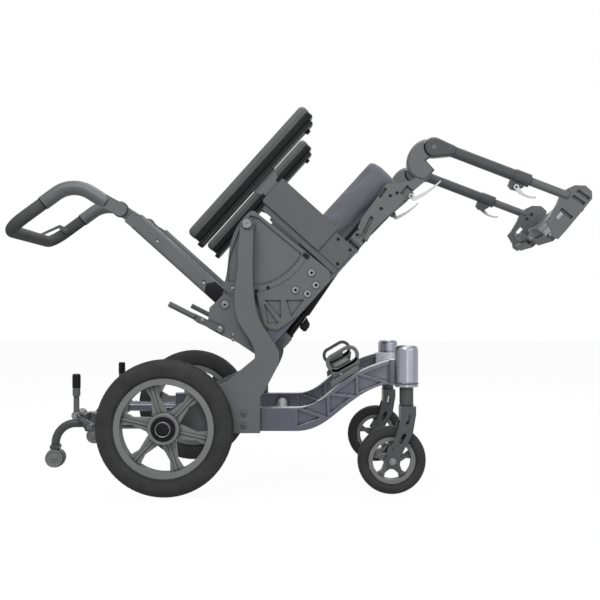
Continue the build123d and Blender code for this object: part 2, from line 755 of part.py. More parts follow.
# ---------------------------------------------------------------- seat
def seat_rails():
    """Seat side rails, with a lug at the rear and the socket for the leg's swing pin at the front."""
    middle = (SEAT_RAIL_LOW + SEAT_RAIL_HIGH) / 2
    with BuildPart() as seat_rail:
        with BuildSketch(seat_plane(SEAT_RAIL_IN)):
            with BuildLine():
                Polyline(
                    (SEAT_RAIL_REAR, SEAT_RAIL_LOW + 8),
                    (SEAT_RAIL_REAR + 12, SEAT_RAIL_LOW),
                    (SEAT_RAIL_FRONT, SEAT_RAIL_LOW),
                    (SEAT_RAIL_FRONT, SEAT_RAIL_HIGH),
                    (SEAT_RAIL_REAR + 30, SEAT_RAIL_HIGH),
                    (SEAT_RAIL_REAR + 10, SEAT_RAIL_HIGH + 34),
                    (SEAT_RAIL_REAR, SEAT_RAIL_HIGH + 34),
                    close=True,
                )
            make_face()
            with Locations((SEAT_RAIL_REAR + 22, middle), (SEAT_RAIL_FRONT - 26, middle)):
                Circle(4.0, mode=Mode.SUBTRACT)
        extrude(amount=SEAT_RAIL_WIDTH)
        for end_w in (SEAT_RAIL_LOW, SEAT_RAIL_HIGH - SWING_LUG):
            with BuildSketch(deck_plane(end_w)):
                with Locations((SWING_U, -LEG_Y)):
                    Circle(SWING_KNUCKLE_R)
                with Locations(((SWING_U + SEAT_RAIL_FRONT) / 2 - 6, -LEG_Y + 7)):
                    Rectangle(SWING_U - SEAT_RAIL_FRONT + 12, 10)
                with Locations((SWING_U, -LEG_Y)):
                    Circle(SWING_PIN_R + BORE_FIT, mode=Mode.SUBTRACT)
            extrude(amount=SWING_LUG)
    keep_pair("seat_rail", seat_rail.part)


def seat_pan():
    """The pressed pan that the cushion lies on."""
    with BuildPart() as pan:
        with BuildSketch(deck_plane(SEAT_RAIL_HIGH)):
            with Locations(((CUSHION_REAR + CUSHION_FRONT) / 2 - 6, 0)):
                RectangleRounded(CUSHION_FRONT - CUSHION_REAR - 12, 2 * SECTOR_IN - 16, 20)
                with GridLocations(84, 96, 4, 3):
                    SlotOverall(54, 14, mode=Mode.SUBTRACT)
        extrude(amount=PAN_THICK)
    keep("seat_pan", pan.part)


def seat_cushion():
    """The seat cushion: crowned top, drawn-in sides and a flat underside."""
    low = SEAT_RAIL_HIGH + PAN_THICK + RUN
    length = CUSHION_FRONT - CUSHION_REAR
    middle = (CUSHION_FRONT + CUSHION_REAR) / 2
    drawn = 7.0  # how far the middle of each side pulls in between the corners
    levels = (
        (0.0, 6.0),
        (0.22 * CUSHION_THICK, 0.0),
        (0.72 * CUSHION_THICK, 0.0),
        (0.92 * CUSHION_THICK, 7.0),
        (CUSHION_THICK, 22.0),
    )
    with BuildPart() as cushion:
        for height, inset in levels:
            half_u = length / 2 - inset
            half_y = CUSHION_HALF - inset
            corner = max(CUSHION_CORNER - inset * 0.4, 8)
            with BuildSketch(deck_plane(low + height)):
                with BuildLine():
                    for turn_u, turn_y in ((1, 1), (-1, 1), (-1, -1), (1, -1)):
                        ends = (
                            (middle + turn_u * half_u, turn_y * (half_y - corner)),
                            (middle + turn_u * (half_u - corner), turn_y * half_y),
                        )
                        out = corner * 0.2929
                        knee = (middle + turn_u * (half_u - out), turn_y * (half_y - out))
                        ThreePointArc(ends[0], knee, ends[1])
                    for turn_y in (1, -1):
                        ThreePointArc(
                            (middle - half_u + corner, turn_y * half_y),
                            (middle, turn_y * (half_y - drawn)),
                            (middle + half_u - corner, turn_y * half_y),
                        )
                    for turn_u in (1, -1):
                        ThreePointArc(
                            (middle + turn_u * half_u, -half_y + corner),
                            (middle + turn_u * (half_u - drawn), 0),
                            (middle + turn_u * half_u, half_y - corner),
                        )
                make_face()
        loft(ruled=True)
    keep("seat_cushion", cushion.part)


def sector_plates():
    """Sector plates: recessed web, rim arc about the pivot with its tilt notches, ribbed lower corner."""
    recess = SECTOR_RIM - SECTOR_WEB
    inner_arc = SECTOR_ARC_R - SECTOR_ARC_BAND
    notch_step = 3.6  # degrees between notches
    with BuildPart() as sector:
        with BuildSketch(seat_plane(SECTOR_IN)):
            with BuildLine():
                rear = Spline(
                    (24, 17), (2, 18), (-59, 0), (-129, -46), (-141, -66),
                    tangents=((-1, 0.15), (0.1, -1)),
                )
                Polyline(
                    rear @ 1,
                    (-134, -82),
                    (-98, -115),
                    (-113, -133),
                    (-141, -178),
                    (-141, -192),
                    (-131, -207),
                    (-98, -215),
                    (-70, -221),
                    (33, -221),
                    (47, -205),
                    (34, 4),
                )
                ThreePointArc((34, 4), (31.5, 13), rear @ 0)
            make_face()
        extrude(amount=SECTOR_RIM)
        with BuildSketch(seat_plane(SECTOR_IN + SECTOR_RIM)):
            with BuildLine():
                edge = Spline((20, 10), (-57, -7), (-124, -53), tangents=((-1, 0.1), (-0.6, -0.8)))
                arc = CenterArc((0, 0), inner_arc, -128, 52)
                Line(edge @ 1, arc @ 0)
                Polyline(arc @ 1, (28, -6), edge @ 0)
            make_face()
            with PolarLocations(inner_arc, 13, start_angle=-125, angular_range=12 * notch_step):
                Rectangle(5, 2.6)
            Circle(17, mode=Mode.SUBTRACT)
            for corners in (
                ((-106, -144), (-135, -181), (-118, -200)),
                ((-100, -140), (-76, -168), (-106, -196)),
                ((-68, -176), (-40, -206), (-88, -211)),
            ):
                with BuildLine():
                    Polyline(*corners, close=True)
                make_face()
        extrude(amount=-recess, mode=Mode.SUBTRACT)
        with BuildSketch(seat_plane(SECTOR_IN)):
            Circle(8.0 + BORE_FIT)
        extrude(amount=SECTOR_RIM, mode=Mode.SUBTRACT)
        with BuildSketch(seat_plane(SECTOR_IN + SECTOR_RIM)):
            with Locations((16, -178), (2, -204), (-37, -177), (-25, -203)):
                Circle(5.5)
                Circle(2.2, mode=Mode.SUBTRACT)
        extrude(amount=2.0)
    keep_pair("sector_plate", sector.part)


# ---------------------------------------------------------------- armrests
def armrests():
    """Armrests: the panel bolted to the seat rail, the post sliding in it with its tray, and the pad."""
    wall = (PANEL_WIDTH - POST_THICK) / 2
    block_low = SEAT_RAIL_LOW + 5
    with BuildPart() as panel:
        with BuildSketch(seat_plane(PANEL_IN)) as face:
            with BuildLine():
                Polyline(
                    (PANEL_FACE, PANEL_LOW),
                    (PANEL_FRONT, PANEL_LOW),
                    (PANEL_FRONT, PANEL_HIGH),
                    (PANEL_FACE, PANEL_HIGH),
                    close=True,
                )
            make_face()
            fillet(face.vertices().group_by(Axis.Y)[-1], 4)
        extrude(amount=PANEL_WIDTH)
        with BuildSketch(seat_plane(PANEL_IN + 1)):
            with Locations(((PANEL_REAR + PANEL_FACE + 4) / 2, (block_low + PANEL_HIGH - 12) / 2)):
                Rectangle(PANEL_FACE - PANEL_REAR + 4, PANEL_HIGH - 12 - block_low)
        extrude(amount=PANEL_WIDTH - 6)
        with BuildSketch(seat_plane(SECTOR_IN)):
            with Locations(((PANEL_FACE + 121) / 2, (block_low + PANEL_LOW + 4) / 2)):
                Rectangle(121 - PANEL_FACE, PANEL_LOW + 4 - block_low)
            with Locations((70, -208), (112, -208), (112, -172)):
                Circle(2.2, mode=Mode.SUBTRACT)
        extrude(amount=PANEL_WIDTH - 4)
        with BuildSketch(deck_plane(POST_LOW - 2)):
            with Locations((POST_REAR + POST_WIDTH / 2, -PANEL_IN - PANEL_WIDTH / 2)):
                Rectangle(POST_WIDTH + 2 * RUN, POST_THICK + 2 * RUN)
        extrude(amount=PANEL_HIGH - POST_LOW + 4, mode=Mode.SUBTRACT)
    keep_pair("armrest_panel", panel.part)
    tray_low = PAD_TOP - PAD_THICK - PAD_TRAY
    post_y = PANEL_IN + wall
    with BuildPart() as post:
        with BuildSketch(seat_plane(post_y)):
            with Locations((POST_REAR + POST_WIDTH / 2, (POST_LOW + tray_low) / 2)):
                Rectangle(POST_WIDTH, tray_low - POST_LOW)
        extrude(amount=POST_THICK)
        with BuildSketch(deck_plane(tray_low)):
            with Locations((PAD_REAR + PAD_LENGTH / 2 - 9, -PAD_Y)):
                RectangleRounded(PAD_LENGTH - 10, PAD_WIDTH - 12, 10)
        extrude(amount=PAD_TRAY)
        with BuildSketch(seat_plane(post_y)):
            with BuildLine():
                Polyline((64, tray_low), (72, 22), (124, 22), (136, tray_low), close=True)
            make_face()
        extrude(amount=POST_THICK)
    keep_pair("armrest_post", post.part)
    with BuildPart() as pad:
        with BuildSketch(deck_plane(PAD_TOP - PAD_THICK)):
            with Locations((PAD_REAR + PAD_LENGTH / 2, -PAD_Y)):
                RectangleRounded(PAD_LENGTH, PAD_WIDTH, 14)
        extrude(amount=PAD_THICK)
        top = pad.faces().sort_by(lambda f: f.center().dot(UP))[-1]
        fillet(top.edges(), 11)
    keep_pair("armrest_pad", pad.part)


# ---------------------------------------------------------------- back
def back():
    """Back brackets on the seat rails, canes that recline on them, and the recline levers."""
    with BuildPart() as bracket:
        with BuildSketch(seat_plane(SECTOR_IN)):
            with BuildLine():
                Polyline(
                    (-148, -64),
                    (-196, -60),
                    (-232, -86),
                    (-224, -122),
                    (-212, -158),
                    (SEAT_RAIL_REAR, -206),
                    (-190, -214),
                    (-170, -206),
                    (-168, -150),
                    (-148, -112),
                    close=True,
                )
            make_face()
            with Locations((-214, -148), (-205, -140)):
                Circle(2.6, mode=Mode.SUBTRACT)
        extrude(amount=BRACKET_THICK)
        with BuildSketch(seat_plane(CANE_Y - CANE_THICK / 2 - 3)):
            with Locations((BACK_U, BACK_W)):
                Circle(8)
        extrude(amount=SECTOR_IN + BRACKET_THICK + 3 - CANE_Y + CANE_THICK / 2 + 3)
        with BuildSketch(seat_plane(SECTOR_IN)):
            with Locations((LEVER_U, LEVER_W)):
                Circle(4)
        extrude(amount=BRACKET_THICK + 8)
    keep_group_of_two("back_brackets", bracket.part)
    foot_r = 19.0
    boss_r = 18.0
    shoulder = CANE_TOP
    with BuildPart() as cane:
        with BuildSketch(deck_plane(BACK_W + 14)):
            with Locations((CANE_U, -CANE_Y)):
                RectangleRounded(CANE_DEPTH, CANE_THICK, 7)
        extrude(amount=shoulder - BACK_W - 14)
        with BuildSketch(seat_plane(CANE_Y - CANE_THICK / 2)):
            with Locations((BACK_U, BACK_W)):
                Circle(foot_r)
            with Locations((CANE_U - 2, BACK_W + 12)):
                Rectangle(CANE_DEPTH - 8, 24)
        extrude(amount=CANE_THICK)
        with BuildSketch(seat_plane(CANE_Y - CANE_THICK / 2)):
            with BuildLine():
                Polyline(
                    (CANE_U - CANE_DEPTH / 2 + 1, shoulder - 6),
                    (CANE_U + CANE_DEPTH / 2 - 3, shoulder - 6),
                    (CANE_U + 12, shoulder + 18),
                    (CANE_U - 19, shoulder + 18),
                    close=True,
                )
            make_face()
        extrude(amount=CANE_THICK)
        with BuildSketch(seat_plane(CANE_Y - TONGUE / 2)):
            with Locations((HANDLE_U, HANDLE_W)):
                Circle(boss_r)
            with Locations(((HANDLE_U + CANE_U) / 2, (shoulder + HANDLE_W) / 2 + 2)):
                Rectangle(26, HANDLE_W - shoulder - 4)
        extrude(amount=TONGUE)
        with BuildSketch(seat_plane(CANE_Y - CANE_THICK)):
            with Locations((BACK_U, BACK_W)):
                Circle(8 + BORE_FIT)
            with Locations((HANDLE_U, HANDLE_W)):
                Circle(5 + BORE_FIT)
            with Locations(*[(CANE_U, w) for w in BACK_HOLES]):
                Circle(BACK_HOLE_R)
        extrude(amount=2 * CANE_THICK, mode=Mode.SUBTRACT)
    keep_pair("back_cane", cane.part)
    lever_y = SECTOR_IN + BRACKET_THICK + RUN
    with BuildPart() as lever:
        with BuildSketch(seat_plane(lever_y)):
            with Locations((LEVER_U, LEVER_W)):
                Circle(8)
            with BuildLine():
                Polyline(
                    (LEVER_U - 7, LEVER_W - 3),
                    (LEVER_U + 6, LEVER_W + 4),
                    (-228, -42),
                    (-240, -40),
                    (-239, -62),
                    close=True,
                )
            make_face()
            with Locations((LEVER_U, LEVER_W)):
                Circle(4 + BORE_FIT, mode=Mode.SUBTRACT)
        extrude(amount=5)
        grip_from = seat_point(-233, -50, lever_y + 2.5)
        grip_to = seat_point(-250, 13, lever_y + 2.5)
        with BuildSketch(Plane(origin=grip_from, z_dir=grip_to - grip_from)):
            Circle(6.5)
        extrude(amount=(grip_to - grip_from).length)
    keep_pair("recline_lever", lever.part)


def handle_corners(side):
    """Corners of the handle's line from one cane to the cross bar; side is 1 on the right."""
    y = side * CANE_Y
    return seat_point(ROOT_U, ROOT_W, y), seat_point(BEND_U, BEND_W, y), seat_point(GRIP_U, GRIP_W, y)


GRIP_RUN = Vector(GRIP_U - BEND_U, GRIP_W - BEND_W)  # from the upper corner to the cross bar, in u and w
GRIP_TURN = degrees(atan2(GRIP_RUN.Y, GRIP_RUN.X))
TRIGGER_U = GRIP_U - TRIGGER_REACH * GRIP_RUN.normalized().X
TRIGGER_W = GRIP_W - TRIGGER_REACH * GRIP_RUN.normalized().Y


def push_handle():
    """The push handle: one bent bar from cane to cane on forked knuckles, and the tilt trigger beside it."""
    ear = CANE_THICK / 2 + 2
    slot = TONGUE / 2 + RUN
    right, left = handle_corners(1), handle_corners(-1)
    with BuildPart() as handle:
        with BuildLine() as route:
            FilletPolyline(*right, *reversed(left), radius=(BEND_R, GRIP_BEND, GRIP_BEND, BEND_R))
        with BuildSketch(Plane(origin=route.line @ 0, z_dir=route.line % 0)):
            Circle(HANDLE_R)
        sweep()
        for root, bend, grip in (right, left):
            with BuildLine() as arm:
                FilletPolyline(root, bend, bend + (grip - bend).normalized() * ARM_LENGTH, radius=BEND_R)
            with BuildSketch(Plane(origin=arm.line @ 0, z_dir=arm.line % 0)):
                Circle(ARM_R)
            sweep(path=arm.line)
        for side in (1, -1):
            with BuildSketch(seat_plane(side * CANE_Y - ear)):
                with Locations((HANDLE_U, HANDLE_W)):
                    Circle(16)
                with BuildLine():
                    Polyline(
                        (HANDLE_U - 15, HANDLE_W),
                        (ROOT_U - ARM_R + 1, ROOT_W + 8),
                        (ROOT_U + ARM_R - 2, ROOT_W + 10),
                        (HANDLE_U + 15, HANDLE_W),
                        close=True,
                    )
                make_face()
            extrude(amount=2 * ear)
            with BuildSketch(seat_plane(side * CANE_Y - slot)):
                with Locations((HANDLE_U, HANDLE_W)):
                    Circle(21)
                with Locations((HANDLE_U, HANDLE_W - 20)):
                    Rectangle(60, 30)
            extrude(amount=2 * slot, mode=Mode.SUBTRACT)
            with BuildSketch(seat_plane(side * CANE_Y - ear)):
                with Locations((HANDLE_U, HANDLE_W)):
                    Circle(5)
            extrude(amount=2 * ear)
        with BuildSketch(seat_plane(-CANE_Y)):
            with Locations((TRIGGER_U, TRIGGER_W)):
                Circle(3)
        extrude(amount=HANDLE_R + RUN + 9)
    keep("push_handle", handle.part)
    with BuildPart() as trigger:
        with BuildSketch(seat_plane(HANDLE_R + RUN - CANE_Y, TRIGGER_U, TRIGGER_W, GRIP_TURN)):
            Circle(7)
            with BuildLine():
                Polyline((-6, -4), (4, -22), (60, -33), (63, -28), (12, -17), (7, 2), close=True)
            make_face()
            Circle(3 + BORE_FIT, mode=Mode.SUBTRACT)
        extrude(amount=6)
    keep("tilt_trigger", trigger.part)


# ---------------------------------------------------------------- legs
LEG_DIR = FORWARD * cos(radians(LEG_ANGLE)) - UP * sin(radians(LEG_ANGLE))
LEG_UP = FORWARD * sin(radians(LEG_ANGLE)) + UP * cos(radians(LEG_ANGLE))
FOOT_U = KNEE_U + EXTENSION_END * cos(radians(LEG_ANGLE)) + LEG_RISE * sin(radians(LEG_ANGLE))
FOOT_W = KNEE_W - EXTENSION_END * sin(radians(LEG_ANGLE)) + LEG_RISE * cos(radians(LEG_ANGLE))


def leg_side(y):
    """Upright plane at half-width y along the leg: x runs down the leg from the knee, y forwards."""
    return seat_plane(y, KNEE_U, KNEE_W, -LEG_ANGLE)


def leg_section(distance):
    """Plane square to the leg tube at a distance down it from the knee."""
    knee = seat_point(KNEE_U, KNEE_W, LEG_Y)
    return Plane(origin=knee + LEG_DIR * distance + LEG_UP * LEG_RISE, x_dir=OUTWARD, z_dir=LEG_DIR)


def foot_side(y):
    """Upright plane at half-width y along the footplate: x runs to the toe, y up from the sole."""
    return seat_plane(y, FOOT_U, FOOT_W, FOOT_PITCH)


def hanger_neck():
    """The hanger's swan neck, hollowed round the leg's head, with the tongue and pin of the knee."""
    with BuildPart() as neck:
        with BuildSketch(seat_plane(LEG_Y - KNEE_WIDTH / 2)):
            with BuildLine():
                swan = Spline(
                    (KNEE_U - 77, KNEE_W - 22),
                    (KNEE_U - 70, KNEE_W + 18),
                    (KNEE_U - 52, KNEE_W + 31),
                    (KNEE_U - 21, KNEE_W + 35),
                    (KNEE_U + 2, KNEE_W + KNEE_R + 2),
                )
                Polyline(
                    swan @ 1,
                    (KNEE_U, KNEE_W),
                    (KNEE_U - 19, KNEE_W - 11),
                    (KNEE_U - 25, KNEE_W - 8),
                    (KNEE_U - 34, KNEE_W - 7),
                    (KNEE_U - 37, KNEE_W - 36),
                    (KNEE_U - 68, KNEE_W - 36),
                    swan @ 0,
                )
            make_face()
        extrude(amount=KNEE_WIDTH)
        sides = neck.faces().sort_by(Axis.Y)
        chamfer(sides[0].edges() + sides[-1].edges(), 4.0)
        with BuildSketch(seat_plane(LEG_Y - KNEE_WIDTH / 2)):
            with Locations((KNEE_U, KNEE_W)):
                Circle(KNEE_R + KNEE_GAP)
        extrude(amount=KNEE_WIDTH, mode=Mode.SUBTRACT)
        with BuildSketch(seat_plane(LEG_Y - LEG_TONGUE / 2, KNEE_U, KNEE_W, 150)):
            Circle(KNEE_R - 4)
            with Locations((17, 0)):
                Rectangle(34, KNEE_R + 2)
        extrude(amount=LEG_TONGUE)
        with BuildSketch(seat_plane(LEG_Y - KNEE_WIDTH / 2)):
            with Locations((KNEE_U, KNEE_W)):
                Circle(KNEE_PIN_R)
        extrude(amount=KNEE_WIDTH)
    return neck.part


def hangers():
    """Hangers: swing pin and knuckle, deep arm with its cheek, swan neck, and the release lever."""
    inner = LEG_Y - HANGER_WIDTH / 2
    cheek_in = CUSHION_HALF + CHEEK_GAP
    knuckle_low = SEAT_RAIL_LOW + SWING_LUG + RUN
    knuckle_high = SEAT_RAIL_HIGH - SWING_LUG - RUN
    arm_rear = SWING_U + SWING_KNUCKLE_R + 2
    front = KNEE_U - 37
    with BuildPart() as hanger:
        add(hanger_neck())
        with BuildSketch(seat_plane(inner)):
            with BuildLine():
                Polyline(
                    (arm_rear, HANGER_HIGH),
                    (front - 70, HANGER_HIGH),
                    (front - 50, KNEE_W - 14),
                    (front, KNEE_W - 14),
                    (front, HANGER_LOW - 5),
                    (front - 30, HANGER_LOW - 6),
                    (front - 80, HANGER_LOW + 1),
                    (front - 150, HANGER_LOW + 4),
                    (front - 190, HANGER_LOW + 7),
                    (arm_rear, HANGER_LOW),
                    close=True,
                )
            make_face()
        extrude(amount=HANGER_WIDTH)
        with BuildSketch(seat_plane(cheek_in)) as cheek:
            with BuildLine():
                Polyline(
                    (arm_rear + 8, HANGER_HIGH - 6),
                    (arm_rear + 8, HANGER_HIGH + 6),
                    (arm_rear + 30, CHEEK_HIGH - 10),
                    (front - 94, CHEEK_HIGH),
                    (front - 66, HANGER_HIGH - 6),
                    close=True,
                )
            make_face()
            fillet(cheek.vertices().group_by(Axis.Y)[-1], 10)
        extrude(amount=LEG_Y + HANGER_WIDTH / 2 - cheek_in)
        with BuildSketch(seat_plane(LEG_Y + HANGER_WIDTH / 2)):
            with Locations(Location((arm_rear + 24, HANGER_HIGH - 8), (0, 0, 16))):
                SlotOverall(52, 9)
            with Locations((front - 145, -198), (front - 110, -194), (front - 95, -201)):
                Circle(4)
            with Locations(Location((front - 116, CHEEK_HIGH - 7), (0, 0, 6))):
                SlotOverall(26, 7)
        extrude(amount=-5, mode=Mode.SUBTRACT)
        with BuildSketch(deck_plane(knuckle_low)):
            with Locations((SWING_U, -LEG_Y)):
                Circle(SWING_KNUCKLE_R)
            with Locations((SWING_U + 12, -LEG_Y)):
                Rectangle(24, HANGER_WIDTH - 6)
        extrude(amount=knuckle_high - knuckle_low)
        with BuildSketch(deck_plane(SEAT_RAIL_LOW)):
            with Locations((SWING_U, -LEG_Y)):
                Circle(SWING_PIN_R)
        extrude(amount=SEAT_RAIL_HIGH - SEAT_RAIL_LOW)
        with BuildSketch(seat_plane(LEG_Y - 5)):
            with Locations((RELEASE_U, RELEASE_W + 4)):
                Circle(8)
        extrude(amount=10)
        with BuildSketch(seat_plane(LEG_Y)):
            with Locations((RELEASE_U, RELEASE_W)):
                Circle(2.5)
        extrude(amount=12)
        with BuildSketch(seat_plane(LEG_Y + 5)):
            with Locations((RELEASE_U, RELEASE_W + 6)):
                Rectangle(24, 34)
        extrude(amount=HANGER_WIDTH, mode=Mode.SUBTRACT)
        with BuildSketch(seat_plane(LEG_Y)):
            with Locations((RELEASE_U, RELEASE_W)):
                Circle(2.5)
        extrude(amount=12)
    keep_pair("leg_hanger", hanger.part)
    with BuildPart() as lever:
        with BuildSketch(seat_plane(LEG_Y + 5 + RUN)):
            with Locations((RELEASE_U, RELEASE_W)):
                Circle(5.5)
            with BuildLine():
                under = Spline(
                    (RELEASE_U - 4, RELEASE_W - 12),
                    (RELEASE_U + 20, RELEASE_W - 21),
                    (RELEASE_U + 70, RELEASE_W - 28),
                )
                over = Spline(
                    (RELEASE_U + 70, RELEASE_W - 25),
                    (RELEASE_U + 30, RELEASE_W - 17),
                    (RELEASE_U + 5, RELEASE_W - 7),
                )
                Line(under @ 1, over @ 0)
                Polyline(over @ 1, (RELEASE_U + 5, RELEASE_W), (RELEASE_U - 5, RELEASE_W), under @ 0)
            make_face()
            with Locations((RELEASE_U, RELEASE_W)):
                Circle(2.5 + BORE_FIT, mode=Mode.SUBTRACT)
        extrude(amount=5)
    keep_pair("swing_release_lever", lever.part)


def leg_tubes():
    """Leg tubes: forked head on the knee pin, tapered elbow, tube, and collar with the clamp's block."""
    block = LEG_RISE - LEG_R  # where the clamp block leaves the tube
    with BuildPart() as leg:
        with BuildSketch(leg_side(LEG_Y - KNEE_WIDTH / 2)):
            Circle(KNEE_R)
            with Locations((LEG_START, LEG_RISE)):
                Circle(LEG_R - 1)
            make_hull()
        extrude(amount=KNEE_WIDTH)
        sides = leg.faces().sort_by(Axis.Y)
        chamfer(sides[0].edges() + sides[-1].edges(), 4.0)
        with BuildSketch(leg_section(LEG_START)):
            Circle(LEG_R)
        extrude(amount=LEG_END - LEG_START)
        with BuildSketch(leg_section(COLLAR_START)):
            Circle(COLLAR_R)
        extrude(amount=COLLAR_END - COLLAR_START)
        with BuildSketch(leg_side(LEG_Y - 6)):
            with BuildLine():
                Polyline(
                    (CLAMP_AT - 18, block + 4),
                    (CLAMP_AT - 18, block - 14),
                    (CLAMP_AT - 8, block - 20),
                    (CLAMP_AT + 6, block - 18),
                    (CLAMP_AT + 16, block - 6),
                    (CLAMP_AT + 16, block + 4),
                    close=True,
                )
            make_face()
        extrude(amount=12)
        with BuildSketch(leg_side(LEG_Y)):
            with Locations((CLAMP_AT, block - 12)):
                Circle(2.5)
        extrude(amount=12.5)
        with BuildSketch(leg_section(COLLAR_END)):
            Circle(LEG_BORE)
        extrude(amount=-(COLLAR_END - EXTENSION_START + 12), mode=Mode.SUBTRACT)
        with BuildSketch(leg_side(LEG_Y - LEG_TONGUE / 2 - RUN)):
            Circle(KNEE_R - 3)
            with Locations((-KNEE_R, 0)):
                Rectangle(2 * KNEE_R, 2 * KNEE_R + 2)
        extrude(amount=LEG_TONGUE + 2 * RUN, mode=Mode.SUBTRACT)
        with BuildSketch(leg_side(LEG_Y - KNEE_WIDTH / 2)):
            Circle(KNEE_PIN_R + BORE_FIT)
        extrude(amount=KNEE_WIDTH, mode=Mode.SUBTRACT)
    keep_pair("leg_tube", leg.part)
    with BuildPart() as cam:
        with BuildSketch(leg_side(LEG_Y + 6 + RUN)):
            with Locations((CLAMP_AT, block - 12)):
                Circle(6)
            with BuildLine():
                under = Spline(
                    (CLAMP_AT - 3, block - 17), (CLAMP_AT + 25, block - 25), (CLAMP_AT + 50, block - 20)
                )
                over = Spline(
                    (CLAMP_AT + 49, block - 16), (CLAMP_AT + 25, block - 20), (CLAMP_AT + 4, block - 8)
                )
                Line(under @ 1, over @ 0)
                Line(over @ 1, under @ 0)
            make_face()
            with Locations((CLAMP_AT, block - 12)):
                Circle(2.5 + BORE_FIT, mode=Mode.SUBTRACT)
        extrude(amount=5)
    keep_pair("leg_clamp_lever", cam.part)


TOE_DIR = FORWARD * cos(radians(FOOT_PITCH)) + UP * sin(radians(FOOT_PITCH))
SOLE_UP = UP * cos(radians(FOOT_PITCH)) - FORWARD * sin(radians(FOOT_PITCH))
HINGE = seat_point(FOOT_U, FOOT_W, FOOT_HINGE_Y) - SOLE_UP * FOOT_DROP + TOE_DIR * HINGE_AT
HINGE_NEAR = 14.0  # the hinge's arms, each side of its middle, along the plate
HINGE_FAR = 24.0


def extensions():
    """Extension tubes, each with the moulded carrier plate and the hinge arms and pin of its footplate."""
    arm_reach = FOOT_HINGE_Y - 8
    low = -FOOT_DROP - FOOT_THICK / 2
    with BuildPart() as extension:
        with BuildSketch(leg_section(EXTENSION_START)):
            Circle(EXTENSION_R)
        extrude(amount=EXTENSION_END - EXTENSION_START)
        with BuildSketch(foot_side(CARRIER_IN)):
            with BuildLine():
                Polyline(
                    (10, 12),
                    (27, 5),
                    (FOOT_AHEAD, -14),
                    (FOOT_AHEAD, -33),
                    (FOOT_AHEAD - 12, low + 4),
                    (-FOOT_BACK + 28, low),
                    (-FOOT_BACK + 3, low),
                    (-FOOT_BACK, -34),
                    (-FOOT_BACK + 8, -24),
                    (-FOOT_BACK + 15, 0),
                    (-FOOT_BACK + 32, 1),
                    (-FOOT_BACK + 60, 7),
                    (-16, 12),
                    close=True,
                )
            make_face()
            with Locations((0.5 * -FOOT_BACK, -15)):
                Rectangle(20, 9, mode=Mode.SUBTRACT)
        extrude(amount=CARRIER_THICK)
        with BuildSketch(foot_side(CARRIER_IN + CARRIER_THICK)):
            for foot, head in ((2, 12), (18, 28), (-38, -30)):
                with BuildLine():
                    Polyline(
                        (foot, -8), (foot + 8, -8), (head + 2, low + 9), (head - 6, low + 9), close=True
                    )
                make_face()
        extrude(amount=-5, mode=Mode.SUBTRACT)
        with BuildSketch(foot_side(CARRIER_IN)):
            with Locations((8, -10), (-9, -10)):
                Rectangle(8, 8)
        extrude(amount=4, mode=Mode.SUBTRACT)
        with BuildSketch(foot_side(arm_reach)):
            for place in (-1, 1):
                with Locations((HINGE_AT + place * (HINGE_NEAR + HINGE_FAR) / 2, -FOOT_DROP)):
                    Rectangle(HINGE_FAR - HINGE_NEAR, 12)
        extrude(amount=CARRIER_IN + 1 - arm_reach)
        with BuildSketch(Plane(origin=HINGE - TOE_DIR * HINGE_FAR, z_dir=TOE_DIR)):
            Circle(4)
        extrude(amount=2 * HINGE_FAR)
    keep_pair("leg_extension", extension.part)


def footplates():
    """Footplates: a ribbed tray with cut corners, a lip at the heel and the knuckle of the hinge."""
    plate_edge = FOOT_HINGE_Y - 11
    knuckle = HINGE_NEAR - RUN
    cut = 20.0
    sole = Plane(
        origin=seat_point(FOOT_U, FOOT_W) - SOLE_UP * (FOOT_DROP + FOOT_THICK / 2),
        x_dir=TOE_DIR,
        z_dir=SOLE_UP,
    )
    with BuildPart() as foot:
        with BuildSketch(sole):
            with BuildLine():
                Polyline(
                    (-FOOT_BACK + cut, -FOOT_INNER),
                    (-FOOT_BACK, -FOOT_INNER - cut),
                    (-FOOT_BACK, -plate_edge + 6),
                    (-FOOT_BACK + 6, -plate_edge),
                    (FOOT_AHEAD - 14, -plate_edge),
                    (FOOT_AHEAD, -plate_edge + 14),
                    (FOOT_AHEAD, -FOOT_INNER - cut),
                    (FOOT_AHEAD - cut, -FOOT_INNER),
                    close=True,
                )
            make_face()
        extrude(amount=FOOT_THICK)
        with BuildSketch(sole):
            with Locations(((FOOT_AHEAD - FOOT_BACK) / 2, -(plate_edge + FOOT_INNER) / 2)):
                with GridLocations(38, 46, 3, 3):
                    Rectangle(32, 40)
        extrude(amount=FOOT_THICK - 4, mode=Mode.SUBTRACT)
        with BuildSketch(sole):
            with Locations((-FOOT_BACK + 3, -(plate_edge + FOOT_INNER + cut) / 2)):
                Rectangle(6, plate_edge - FOOT_INNER - cut - 20)
        extrude(amount=FOOT_THICK + FOOT_LIP)
        with BuildSketch(sole):
            with Locations((HINGE_AT, -(plate_edge + FOOT_HINGE_Y) / 2)):
                Rectangle(2 * knuckle, FOOT_HINGE_Y - plate_edge + 2)
        extrude(amount=FOOT_THICK)
        with BuildSketch(Plane(origin=HINGE - TOE_DIR * knuckle, z_dir=TOE_DIR)):
            Circle(8)
        extrude(amount=2 * knuckle)
        with BuildSketch(Plane(origin=HINGE - TOE_DIR * HINGE_FAR, z_dir=TOE_DIR)):
            Circle(4 + BORE_FIT)
        extrude(amount=2 * HINGE_FAR, mode=Mode.SUBTRACT)
    keep_pair("footplate", foot.part)


def build():
    """Makes every piece."""
    drive_wheels()
    casters()
    side_rails()
    tilt_arms()
    pivot_bolts()
    caster_housings()
    cross_tubes()
    tie_downs()
    anti_tips()
    wheel_locks()
    seat_rails()
    seat_pan()
    seat_cushion()
    sector_plates()
    armrests()
    back()
    push_handle()
    hangers()
    leg_tubes()
    extensions()
    footplates()


